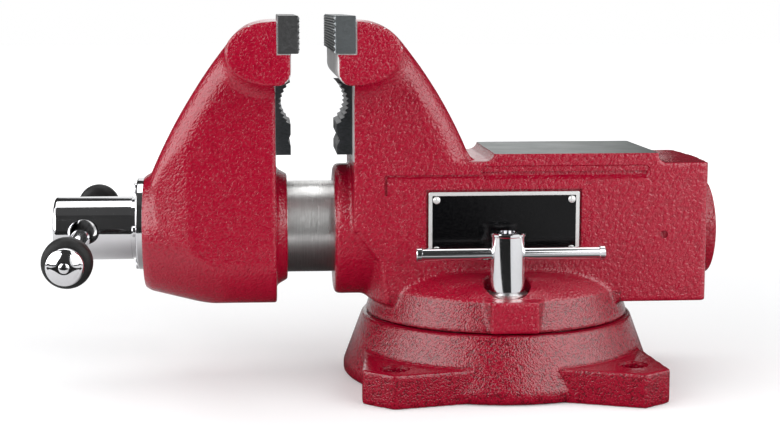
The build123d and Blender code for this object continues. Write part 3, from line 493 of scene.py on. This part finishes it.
def unsettle(piece):
    """Draws the skin in by up to a fraction of a millimetre, as cooling iron does."""
    mesh = piece.data
    count = len(mesh.vertices)
    points = np.empty(count * 3)
    normals = np.empty(count * 3)
    mesh.vertices.foreach_get("co", points)
    mesh.vertex_normals.foreach_get("vector", normals)
    points, normals = points.reshape(-1, 3), normals.reshape(-1, 3)
    scale = 1.0 / (SHRINKAGE_WIDTH * mm)
    lift = np.array([noise.noise(Vector(p) * scale) for p in points.tolist()])
    points += normals * (lift * 0.5 - 0.5)[:, None] * SHRINKAGE * mm
    mesh.vertices.foreach_set("co", points.ravel())
    mesh.update()


def cut(piece, *tools):
    """Cuts closed meshes out of the piece."""
    helpers = []
    for tool in tools:
        helper = add_piece("cutter", tool)
        change = piece.modifiers.new("cut", "BOOLEAN")
        change.operation = "DIFFERENCE"
        change.solver = "MANIFOLD"
        change.object = helper
        helpers.append(helper)
    settle(piece)
    for helper in helpers:
        bpy.data.objects.remove(helper)


PAINTED, MACHINED, ANVIL, COARSE_SHADED, BRIGHT = range(5)


def finish_casting(piece, node, body, enamel_coat, bare_faces):
    """Paints the piece, leaves the machined faces bare, and puts it in the node's place."""
    mesh = piece.data
    mesh.materials.clear()
    for material in (enamel_coat, BARE_CUT, GROUND, COARSE_SHADED_ENAMEL, BRIGHT_CUT):
        mesh.materials.append(material)
    count = len(mesh.polygons)
    centres, normals = np.empty(count * 3), np.empty(count * 3)
    mesh.polygons.foreach_get("center", centres)
    mesh.polygons.foreach_get("normal", normals)
    centres, normals = centres.reshape(-1, 3) / mm, normals.reshape(-1, 3)
    index = bare_faces(centres, normals).astype(np.int32)
    mesh.polygons.foreach_set("material_index", index)
    mesh.polygons.foreach_set("use_smooth", np.ones(count, bool))
    mesh.set_sharp_from_angle(angle=math.radians(CREASE))
    mesh.update()
    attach(piece, body)
    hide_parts(node)
    print(piece.name, "bare faces:", int((index > 0).sum()), "of", count)


print("casting helpers ready")

# %% [markdown]
# ## Sizes that the castings share
#
# The machined faces have to land exactly where the CAD has them. These are the few lengths, in
# millimetres, that the cuts need. Each filler reaches a little past its cut, and each cut a
# little past the iron, so that no thin skin is left between them.

# %% Shared sizes
JAW_TOP = 222.7  # the inserts' tops
INSERT_HEIGHT = 21.2
SEAT_LOW = JAW_TOP - INSERT_HEIGHT
FIXED_FACE = -104.4  # the biting faces
MOVING_FACE = -123.5
HEAD_TOP = 219.7
SEAT = 12.4  # how deep an insert sits behind its face
HALF_JAW = 82.5
HALF_SEAT = 82.1
STEP_Y = 81.4  # where the bright steps round the seats begin
EDGE = 0.7
WEB_LOW = 136.0  # the foot of the milled fronts
MILLED = 14.0
ANVIL_TOP = 140.7
SIDE = 43.0  # half the body's width
BODY_BORE = 28.35
JAW_BORE = 28.32
LOCK = (-2.0, 62.0)
PAD_TOP = 58.5
DIMPLE = (96.5, 91.2)
PAST = 2.0  # how far a cut reaches beyond the iron
HAIR = 0.02  # how near a face has to lie to a cut to count as its own
print("jaw gap:", round(FIXED_FACE - MOVING_FACE, 2), "mm")

# %% [markdown]
# ## The swivel body
#
# This is the largest casting: the housing of the slide, the fixed jaw and the anvil in one. Its
# bore, the seat of the jaw insert, the anvil's top, the lock pads' spot faces, the recess and
# groove in each side and the pocket of the name plate are cut after the remesh. A narrow gutter
# goes round the plate, and the seat gets a step at each end, which shows as a bright line.

# %% Recast the swivel body


def seat_tool(name, face_x, side):
    """The seat of a jaw insert, cut from above and past both ends of the head."""
    back = face_x + side * SEAT
    front = face_x - side * 8.0
    return box_mesh(name, (min(front, back), -HALF_JAW - PAST, SEAT_LOW),
                    (max(front, back), HALF_JAW + PAST, JAW_TOP + PAST))


def seat_steps(face_x, side):
    """The bright edge that the cutter leaves round the seat at both ends of the head."""
    back = face_x + side * (SEAT + EDGE)
    front = face_x - side * 8.0
    steps = []
    for end in (-1, 1):
        y = sorted((end * STEP_Y, end * (HALF_JAW + PAST)))
        steps.append(box_mesh("seat_step", (min(front, back), y[0], SEAT_LOW - EDGE),
                              (max(front, back), y[1], JAW_TOP + PAST)))
    return steps


def sunk_mesh(name, outline, floor_outline, side, depth):
    """A closed tool that cuts from outside a side wall down to a smaller outline at a depth."""
    wall, floor = side * SIDE, side * (SIDE - depth)
    past = [(2 * x - fx, 2 * z - fz) for (x, z), (fx, fz) in zip(outline, floor_outline)]
    points = []
    for loop, y in ((past, 2 * wall - floor), (floor_outline, floor)):
        points += [(x, y, z) for x, z in loop]
    count = len(outline)
    near, far = range(count), range(count, 2 * count)
    faces = [tuple(near), tuple(reversed(far))] + joined([near, far])
    return closed_mesh(name, points, faces)


def round_ended(low_x, high_x, low_z, high_z, steps=12):
    """A long outline with round ends."""
    radius = (high_z - low_z) / 2
    middle_z = (high_z + low_z) / 2
    points = []
    for centre_x, start in ((high_x - radius, -90), (low_x + radius, 90)):
        for k in range(steps + 1):
            angle = math.radians(start + 180 * k / steps)
            points.append((centre_x + radius * math.cos(angle),
                           middle_z + radius * math.sin(angle)))
    return points


def groove_tools(side):
    """A shallow round-ended recess, a deep groove along its lower edge, and the lip before it."""
    lip = [(-12.0, 126.0), (-12.0, 128.4), (-73.0, 128.4), (-73.0, 116.0), (-71.4, 116.0),
           (-71.4, 126.0)]
    lip_floor = [(-12.0, 127.2), (-12.0, 128.3), (-73.0, 128.3), (-73.0, 116.0), (-71.4, 116.0),
                 (-71.4, 127.2)]
    return [
        sunk_mesh("recess", round_ended(-16.0, 87.5, 126.2, 133.8),
                  round_ended(-15.3, 86.8, 126.9, 133.1), side, 1.1),
        sunk_mesh("groove", round_ended(-16.0, 86.9, 125.3, 130.2),
                  round_ended(-14.2, 85.1, 127.6, 129.9), side, 2.8),
        sunk_mesh("lip", lip, lip_floor, side, 1.5),
    ]


def plate_moat():
    """A narrow deeper gutter round the name plate, where its shadow gathers."""
    low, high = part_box("name_plate")
    low_x, high_x, low_z, high_z = low.x / mm, high.x / mm, low.z / mm, high.z / mm
    wide, front, back = 1.3, -SIDE - 3.0, -SIDE + 2.4
    return [
        box_mesh("gutter", (low_x - wide, front, low_z - wide), (low_x, back, high_z + wide)),
        box_mesh("gutter", (high_x, front, low_z - wide), (high_x + wide, back, high_z + wide)),
        box_mesh("gutter", (low_x, front, low_z - wide), (high_x, back, low_z)),
        box_mesh("gutter", (low_x, front, high_z), (high_x, back, high_z + wide)),
    ]


body = recast("swivel_body_casting", "swivel_body", fillers=[
    bar_mesh("bore_filler", (-101.6, 0, AXIS), (120.0, 0, AXIS), 32.0),
    box_mesh("anvil_filler", (-7.0, -SIDE, 130.0), (92.5, SIDE, ANVIL_TOP + 1.6)),
    box_mesh("seat_filler", (FIXED_FACE + 2.0, -HALF_SEAT, SEAT_LOW - 3.0),
             (FIXED_FACE + SEAT + 4.0, HALF_SEAT, HEAD_TOP)),
    box_mesh("pocket_filler", (-52.0, -SIDE, 74.0), (50.0, -SIDE + 3.0, 122.0)),
    *mirrored_boxes("pad_filler", (-14.0, 70.0, 39.8), (14.0, 83.6, PAD_TOP)),
    *mirrored_boxes("groove_filler", (-74.0, SIDE - 4.0, 123.0), (101.0, SIDE, 134.4)),
    *[bar_mesh("dimple_filler", (DIMPLE[0], side * (SIDE - 3.0), DIMPLE[1]),
               (DIMPLE[0], side * SIDE, DIMPLE[1]), 4.0, sides=32) for side in (-1, 1)],
])
unsettle(body)
cut(body,
    bar_mesh("bore", (-110.0, 0, AXIS), (140.0, 0, AXIS), BODY_BORE),
    box_mesh("anvil_cut", (-20.0, -60.0, ANVIL_TOP), (110.0, 60.0, 150.0)),
    seat_tool("fixed_seat", FIXED_FACE, 1),
    *seat_steps(FIXED_FACE, 1),
    box_mesh("plate_pocket", (-48.3, -SIDE - 3.0, 76.9), (45.9, -SIDE + 0.8, 119.6)),
    *plate_moat(),
    *[bar_mesh("spot_face", (LOCK[0], side * LOCK[1], PAD_TOP),
               (LOCK[0], side * LOCK[1], PAD_TOP + 30.0), 13.5) for side in (-1, 1)],
    *[tool for side in (-1, 1) for tool in groove_tools(side)],
    *[bar_mesh("dimple", (DIMPLE[0], side * (SIDE - 2.2), DIMPLE[1]),
               (DIMPLE[0], side * (SIDE + PAST), DIMPLE[1]), 2.3, sides=32) for side in (-1, 1)])


def seat_edges(centres):
    """The steps round the seats of the inserts."""
    return (np.abs(np.abs(centres[:, 1]) - STEP_Y) < HAIR) & (centres[:, 2] > SEAT_LOW - EDGE)


def milled_front(centres, normals, behind, looks):
    """The milled front of a web and head: how far behind the face, and which way it looks."""
    z = centres[:, 2]
    return (behind < MILLED) & (z > WEB_LOW) & (z < SEAT_LOW - HAIR) & (
        normals[:, 0] * looks > 0.5) | seat_edges(centres)


def body_bare(centres, normals):
    """Which material each face of the body gets, from its centre and normal."""
    x, y, z = centres.T
    anvil = (np.abs(z - ANVIL_TOP) < HAIR) & (normals[:, 2] > 0.99)
    seat = (x < FIXED_FACE + SEAT + HAIR) & (z > SEAT_LOW - HAIR) & (
        (np.abs(x - FIXED_FACE - SEAT) < HAIR) | (np.abs(z - SEAT_LOW) < HAIR))
    bore = np.hypot(y, z - AXIS) < BODY_BORE + 0.05
    milled = milled_front(centres, normals, x - FIXED_FACE, -1)
    # The bell gets the coarse enamel, which is painted darker as shade.
    shaded_bell = (z < PAD_TOP - 1.5) & (np.hypot(x, y) < 83.0)
    return np.select([anvil, seat | bore, milled, shaded_bell],
                     [ANVIL, MACHINED, BRIGHT, COARSE_SHADED], PAINTED)


finish_casting(body, "swivel_body", "swivel", BODY_ENAMEL, body_bare)

# %% [markdown]
# ## The moving jaw
#
# The moving jaw is a sleeve round the slide bar, with a web and the same wide head. It is recast
# in the same way: the seat of its insert is filled and cut again, and its bore is cut to size.

# %% Recast the moving jaw
jaw = recast("moving_jaw_casting", "moving_jaw", fillers=[
    box_mesh("seat_filler", (MOVING_FACE - SEAT - 4.0, -HALF_SEAT, SEAT_LOW - 3.0),
             (MOVING_FACE - 4.7, HALF_SEAT, HEAD_TOP)),
])
unsettle(jaw)
cut(jaw,
    bar_mesh("bore", (-200.0, 0, AXIS), (-120.0, 0, AXIS), JAW_BORE),
    seat_tool("moving_seat", MOVING_FACE, -1),
    *seat_steps(MOVING_FACE, -1))


def jaw_bare(centres, normals):
    """Which material each face of the moving jaw gets."""
    x, y, z = centres.T
    seat = (z > SEAT_LOW - HAIR) & (
        (np.abs(x - MOVING_FACE + SEAT) < HAIR) | (np.abs(z - SEAT_LOW) < HAIR))
    bore = np.hypot(y, z - AXIS) < JAW_BORE + 0.04
    milled = milled_front(centres, normals, MOVING_FACE - x, 1)
    return np.select([seat | bore, milled], [MACHINED, BRIGHT], PAINTED)


finish_casting(jaw, "moving_jaw", "front_jaw", JAW_ENAMEL, jaw_bare)

# %% [markdown]
# ## The base
#
# The base is the round foot with its lugs. The bolt holes and the spot faces round them are
# drilled after casting, so they are filled and then cut with clean edges. Paint covers all of it.

# %% Recast the base
BOLTS = [(-70.0, -80.5), (70.0, -80.5), (0.0, 106.68)]
BOLT_RADIUS = 6.75
SPOT_RADIUS = 9.0
SPOT_FLOOR = 18.8
ABOVE = 24.0
base = recast("base_casting", "base", fillers=[
    bar_mesh("hole_filler", (x, y, 1.0), (x, y, 20.0), 10.5) for x, y in BOLTS])
unsettle(base)
cut(base,
    *[bar_mesh("bolt_hole", (x, y, -PAST), (x, y, ABOVE), BOLT_RADIUS, sides=64)
      for x, y in BOLTS],
    *[bar_mesh("bolt_spot", (x, y, SPOT_FLOOR), (x, y, ABOVE), SPOT_RADIUS, sides=64)
      for x, y in BOLTS])


def base_bare(centres, normals):
    """No face of the base is bare."""
    return np.full(len(centres), PAINTED)


# The whole base gets the coarse enamel, painted darker as shade low down.
finish_casting(base, "base", "base", COARSE_SHADED_ENAMEL, base_bare)

# %% [markdown]
# ## Jaw inserts with cut teeth
#
# The inserts are hardened blocks with crossed grooves on their biting face. The teeth are real
# geometry: the face is a fine grid, and each point is pushed back by two sets of slanting
# V-grooves. The grid's step is a quarter of the grooves' period, so ridges and valleys fall on
# grid points and stay sharp. Rings of points behind the grid make the chamfer and the back.

# %% Cut the teeth
TOOTH_PITCH = 3.1
TOOTH_DEPTH = 0.75
INSERT_CHAMFER = 0.8
HALF_INSERT = INSERT_HEIGHT / 2


def jaw_insert(name, face_x, side, tone):
    """A hardened insert whose biting face looks towards the gap; side points into the head."""
    step = TOOTH_PITCH / 4
    inner_y, inner_z = HALF_JAW - INSERT_CHAMFER, HALF_INSERT - INSERT_CHAMFER
    across = np.linspace(-inner_y, inner_y, round(2 * inner_y / step) + 1)
    up = np.linspace(-inner_z, inner_z, round(2 * inner_z / step) + 1)
    middle_z = JAW_TOP - HALF_INSERT
    columns, rows = len(across), len(up)

    def groove(value):
        """0 on a ridge and 1 at the bottom of a groove."""
        phase = value / TOOTH_PITCH % 1.0
        return 1.0 - abs(2.0 * phase - 1.0)

    points = []
    for j, z in enumerate(up):
        for i, y in enumerate(across):
            first = groove((i + j) * step)
            second = groove((i - j) * step)
            sunk = TOOTH_DEPTH * max(first, second)
            points.append((face_x + side * sunk, y, middle_z + z))
    faces = []
    for j in range(rows - 1):
        for i in range(columns - 1):
            corner = j * columns + i
            a, b, c, d = corner, corner + 1, corner + columns + 1, corner + columns
            if (i + j) % 2:
                faces += [(a, b, c), (a, c, d)]
            else:
                faces += [(a, b, d), (b, c, d)]
    border = list(range(columns))
    border += [j * columns + columns - 1 for j in range(1, rows)]
    border += [(rows - 1) * columns + i for i in range(columns - 2, -1, -1)]
    border += [j * columns for j in range(rows - 2, 0, -1)]
    rings = [border]
    for depth, grow in ((INSERT_CHAMFER + 0.3, 1.0), (SEAT - 0.4, 1.0), (SEAT, 0.4)):
        ring = []
        for index in border:
            _, y, z = points[index]
            y = y * (inner_y + INSERT_CHAMFER * grow) / inner_y
            z = middle_z + (z - middle_z) * (inner_z + INSERT_CHAMFER * grow) / inner_z
            ring.append(len(points))
            points.append((face_x + side * depth, y, z))
        rings.append(ring)
    faces += joined(rings)
    faces.append(tuple(rings[-1]))
    piece = add_piece(name, closed_mesh(name, points, faces),
                      insert_steel(name + "_steel", face_x, side, tone))
    print(name, "teeth faces:", len(faces))
    return piece


# Both inserts are the same steel: the fixed one is painted paler as painted light, the moving one
# darker as painted shade.
INSERT_STEEL_LIT = (0.17, 0.19, 0.20)
INSERT_STEEL_SHADED = (0.10, 0.102, 0.105)
for name, node, body_name, face_x, side, tone in (
        ("fixed_insert", "jaw_insert_fixed", "swivel", FIXED_FACE, 1, INSERT_STEEL_LIT),
        ("moving_insert", "jaw_insert_moving", "front_jaw", MOVING_FACE, -1, INSERT_STEEL_SHADED)):
    insert = jaw_insert(name, face_x, side, tone)
    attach(insert, body_name)
    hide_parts(node)

# %% [markdown]
# ## The name plate
#
# The plate is a thin metal tag with a bright rim round a black field, and it is left blank. Rim
# and field are different faces of one small solid: the field lies a hair lower than the rim, so
# the edge between them catches the light. Its size comes from the CAD plate that it replaces.

# %% Build the name plate


def rounded_loop(half_x, half_z, radius, steps=6):
    """Points of a rounded rectangle, in order."""
    points = []
    for corner_x, corner_z, start in ((1, 1, 0), (-1, 1, 90), (-1, -1, 180), (1, -1, 270)):
        for k in range(steps + 1):
            angle = math.radians(start + 90 * k / steps)
            points.append((corner_x * (half_x - radius) + radius * math.cos(angle),
                           corner_z * (half_z - radius) + radius * math.sin(angle)))
    return points


def build_plate():
    """The blank plate, from its back to its sunk field, one ring after another."""
    low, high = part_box("name_plate")
    middle_x, middle_z = (low.x + high.x) / 2 / mm, (low.z + high.z) / 2 / mm
    half_x, half_z = (high.x - low.x) / 2 / mm, (high.z - low.z) / 2 / mm
    front, back = low.y / mm, high.y / mm
    rim = 2.0
    loops = [
        (0.0, 1.0, back), (0.0, 1.0, front + 0.2), (0.2, 0.9, front),
        (rim, 0.6, front), (rim + 0.15, 0.5, front + 0.15)]
    points, rings = [], []
    for inset, radius, y in loops:
        ring = []
        for x, z in rounded_loop(half_x - inset, half_z - inset, radius):
            ring.append(len(points))
            points.append((middle_x + x, y, middle_z + z))
        rings.append(ring)
    faces = [tuple(rings[0]), tuple(reversed(rings[-1]))] + joined(rings)
    mesh = closed_mesh("blank_name_plate", points, faces)
    piece = add_piece("blank_name_plate", mesh, RIVET_STEEL, PLATE_BLACK)
    mesh.polygons[1].material_index = 1
    print("name plate:", round(2 * half_x, 1), "by", round(2 * half_z, 1), "mm")
    return piece


plate = build_plate()
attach(plate, "swivel")
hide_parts("name_plate")

# %% [markdown]
# ## The knobs on the handle
#
# Each end of the handle has a turned and plated knob outside its rubber ring: a short drum with
# a rounded edge, a low crown and a small nub in its middle. The profile is listed from the ring
# outwards, as distances and radii, and swept round the handle's own axis. The handle's joint in
# the record gives that axis, and the CAD knobs give the place.

# %% Turn the knobs
KNOB_RIM = [(0.0, 9.0), (0.5, 9.8), (1.2, 10.3), (6.7, 10.3), (7.4, 10.2), (8.0, 9.9), (8.5, 9.3),
            (8.8, 8.4)]
KNOB_NUB = [(10.55, 2.9), (10.8, 2.7), (11.1, 2.1), (11.3, 1.3), (11.38, 0.6)]
KNOB_LENGTH = 11.4


def crown(start, end, steps=16):
    """A low curve from the rim to the foot of the nub, level where it meets the nub."""
    profile = []
    for k in range(1, steps):
        part = k / steps
        radius = start[1] + (end[1] - start[1]) * part
        profile.append((start[0] + (end[0] - start[0]) * math.sin(part * math.pi / 2), radius))
    return profile


def turned_mesh(name, profile, tip, base, outwards, sides=72):
    """Sweeps (distance, radius) pairs round an axis and closes both ends, in millimetres."""
    across = outwards.orthogonal().normalized()
    beside = outwards.cross(across)
    points = []
    for distance, radius in profile:
        for k in range(sides):
            angle = math.tau * k / sides
            spoke = across * math.cos(angle) + beside * math.sin(angle)
            points.append(base + outwards * distance + spoke * radius)
    points += [base + outwards * profile[0][0], base + outwards * tip]
    first, last = len(points) - 2, len(points) - 1
    rings = [range(k * sides, (k + 1) * sides) for k in range(len(profile))]
    faces = joined(rings)
    end = rings[-1].start
    for k in range(sides):
        n = (k + 1) % sides
        faces += [(n, k, first), (end + k, end + n, last)]
    mesh = closed_mesh(name, points, faces)
    for face in mesh.polygons:
        face.use_smooth = True
    mesh.set_sharp_from_angle(angle=math.radians(40))
    return mesh


joints = {joint["name"]: joint for joint in frame["record"]["behaviour"]["joints"]}
handle_axis = Vector(joints["handle_slide"]["axis"]).normalized()
knob_profile = KNOB_RIM + crown(KNOB_RIM[-1], KNOB_NUB[0]) + KNOB_NUB
for side_name, outwards in (("near", -handle_axis), ("far", handle_axis)):
    node = "handle_knob_" + side_name
    low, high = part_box(node)
    base_point = (low + high) / 2 / mm - outwards * KNOB_LENGTH / 2
    knob = add_piece("knob_cap_" + side_name, turned_mesh(
        node, knob_profile, KNOB_LENGTH, base_point, outwards), CHROME)
    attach(knob, "handle")
    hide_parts(node)
print("knobs turned from", len(knob_profile), "rings")

# %% [markdown]
# ## Finishes for the parts that keep their CAD shape
#
# Bars, screws, nuts and washers are turned parts, and their CAD shape is already right. They
# only need their finish, which goes into the material slots that each of them has.

# %% Finish the turned parts
FINISHES = {
    CHROME: ["spindle_washer", "retaining_plate", "plate_screws", "handle_bar",
             "lock_nut_near", "lock_nut_far", "lock_bar_near", "lock_bar_far"],
    SPINDLE_CHROME_SHADED_HOLE: ["spindle"],
    TURNED: ["slide_bar", "thrust_washer", "lock_washer_near", "lock_washer_far",
             "lock_stud_near", "lock_stud_far", "nut_bolt"],
    HARD_STEEL: ["pipe_jaw_fixed", "pipe_jaw_moving"],
    BLACK_SCREW: ["insert_screws_fixed", "insert_screws_moving", "pipe_jaw_screws_fixed",
                  "pipe_jaw_screws_moving", "slide_set_screw"],
    RUBBER: ["handle_ring_near", "handle_ring_far"],
    RIVET_STEEL: ["name_plate_rivets"],
    BRONZE: ["spindle_nut"],
    BODY_ENAMEL: ["rear_cap"],
}
for material, names in FINISHES.items():
    for name in names:
        for slot in nodes[name].material_slots:
            slot.material = material
finished = sum(len(names) for names in FINISHES.values())
print("finished in place:", finished, "replaced:", len(nodes) - finished)

# %% [markdown]
# ## A small product studio
#
# The vise stands on a plain pale floor before white. The world is white to the camera and to
# reflections, and only a soft fill to everything else, so the background stays white without
# washing the red out.

# %% White surroundings
scene = bpy.context.scene
world = bpy.data.worlds.new("studio")
scene.world = world
world.use_nodes = True
world.node_tree.nodes.clear()
sky = Finish("studio", world.node_tree)
camera_ray = sky.node("LightPath", output="Is Camera Ray")
glossy_ray = sky.node("LightPath", output="Is Glossy Ray")
clear_ray = sky.node("LightPath", output="Is Transmission Ray")
seen = (camera_ray + glossy_ray + clear_ray).ramp(0.0, 1.0)
fill = sky.node("Background", {}, {"Color": (0.95, 0.97, 1.0, 1), "Strength": 0.30})
white = sky.node("Background", {}, {"Color": (1, 1, 1, 1), "Strength": 1.0})
both = sky.node("MixShader", {}, {0: seen, 1: fill, 2: white})
sky.node("OutputWorld", {}, {"Surface": both})
print("world made")

# %% [markdown]
# ## The floor
#
# The floor is pale paper that keeps the vise's shadow. It glows for the camera, and the more the
# farther it lies from the vise, so that it meets the white without a line. Reflections see it
# darker, most of all under the vise, where the vise shades it: that keeps the lower faces red.

# %% The floor


def floor_finish():
    """Pale paper, with one tone for the camera and another for reflections."""
    finish = Finish("pale_floor")
    paper = finish.grain(9.0, detail=2.0)
    straight = finish.node("LightPath", output="Is Camera Ray")
    mirrored = finish.node("LightPath", output="Is Glossy Ray")
    away = finish.along(0) ** 2 + finish.along(1) ** 2
    under = 1 - away.ramp(0.015, 0.085)
    shade = mirrored * (under * 0.8 + 0.2)
    tone = (shade + paper * 0.02).colours((0.82, 0.82, 0.82), (0.05, 0.05, 0.05))
    far = away.ramp(0.04, 0.9)
    glow = straight * (far * 0.75 + 0.25)
    return finish.surface(Base_Color=tone, Roughness=0.7, Specular_IOR_Level=0.1,
                          Emission_Color=glow.colours((0, 0, 0), (1, 1, 1)),
                          Emission_Strength=0.8)


floor_mesh = bpy.data.meshes.new("studio_floor")
reach = 8.0
floor_mesh.from_pydata(
    [(-reach, -reach, 0), (reach, -reach, 0), (reach, reach, 0), (-reach, reach, 0)],
    [], [(0, 1, 2, 3)])
floor = add_piece("studio_floor", floor_mesh, floor_finish())
floor.location.z = -0.2 * mm

# %% [markdown]
# ## Soft boxes and dark cards
#
# Two large soft boxes stand left and right, and a third hangs overhead. Their reflections, broken
# by the pebbles, make the enamel sparkle. Dark cards are seen by reflections alone: they keep the
# red deep on the faces that look at the camera, and they draw the dark bands along the chrome.
# Each card gives off one dark grey, so no lamp can brighten it. One lies low before the vise.

# %% The soft boxes and the dark cards
TARGET = Vector((-0.07, 0.0, 0.11))


def soft_box(name, direction, distance, width, height, watts):
    """An area lamp that looks at the vise from a direction."""
    lamp = bpy.data.lights.new(name, "AREA")
    lamp.shape = "RECTANGLE"
    lamp.size, lamp.size_y = width, height
    lamp.energy = watts
    box = bpy.data.objects.new(name, lamp)
    scene.collection.objects.link(box)
    away = Vector(direction).normalized()
    box.location = TARGET + away * distance
    box.rotation_mode = "QUATERNION"
    box.rotation_quaternion = away.to_track_quat("Z", "Y")
    box.visible_camera = False


def dark_card(name, direction, distance, width, height, shade):
    """A card that only reflections see; it shows them one dark grey, however it is lit."""
    mesh = bpy.data.meshes.new(name)
    w, h = width / 2, height / 2
    mesh.from_pydata([(-w, -h, 0), (w, -h, 0), (w, h, 0), (-w, h, 0)], [], [(0, 1, 2, 3)])
    finish = Finish(name)
    glow = finish.node("Emission", {}, {"Color": (shade, shade, shade, 1)})
    finish.node("OutputMaterial", {}, {"Surface": glow})
    card = add_piece(name, mesh, finish.material)
    away = Vector(direction).normalized()
    card.location = TARGET + away * distance
    card.rotation_mode = "QUATERNION"
    card.rotation_quaternion = away.to_track_quat("Z", "Y")
    card.visible_camera = False
    card.visible_diffuse = False
    card.visible_shadow = False
    card.visible_transmission = False
    return card


soft_box("soft_box_left", (-0.828, -0.386, 0.407), 1.3, 1.9, 1.1, 17.0)
soft_box("soft_box_right", (0.72, -0.562, 0.407), 1.3, 1.6, 1.1, 13.2)
soft_box("soft_box_top", (0.0, 0.30, 1.0), 1.5, 1.8, 0.9, 9.4)
dark_card("card_front", (-0.17, -0.88, 0.44), 2.1, 1.78, 2.8, 0.04)
dark_card("card_left", (-0.69, -0.71, 0.14), 2.0, 1.15, 0.85, 0.04)
dark_card("card_right", (0.66, -0.74, 0.14), 2.0, 1.15, 0.85, 0.04)
dark_card("card_above", (-0.10, -0.30, 0.95), 2.1, 1.6, 1.4, 0.07)
dark_card("card_over_back", (0.0, 0.675, 0.737), 2.1, 2.6, 0.40, 0.05)
dark_card("card_back_left", (-0.62, 0.72, 0.50), 2.1, 1.9, 2.8, 0.03)
dark_card("card_back_right", (0.62, 0.72, 0.50), 2.1, 1.9, 2.8, 0.03)
card_low = dark_card("card_low", (0.0, 0.0, 1.0), 0.0, 0.90, 2.27, 0.02)
card_low.location = (-0.35, -1.465, 0.003)

# %% [markdown]
# ## The camera
#
# The camera was found by matching known points of the model with where they lie in the
# photograph: a long lens, a little above the vise and turned slightly to the right.

# %% Place the camera
lens = bpy.data.cameras.new("camera")
lens.sensor_width = 36.0
lens.lens = 72.106
lens.clip_start, lens.clip_end = 0.05, 50.0
camera = bpy.data.objects.new("camera", lens)
scene.collection.objects.link(camera)
camera.location = (-0.1417, -0.962, 0.2285)
camera.rotation_euler = (math.pi / 2 - 0.136, 0.0, -0.078)
scene.camera = camera
scene.view_settings.view_transform = "Standard"
print("camera at", [round(v, 3) for v in camera.location])
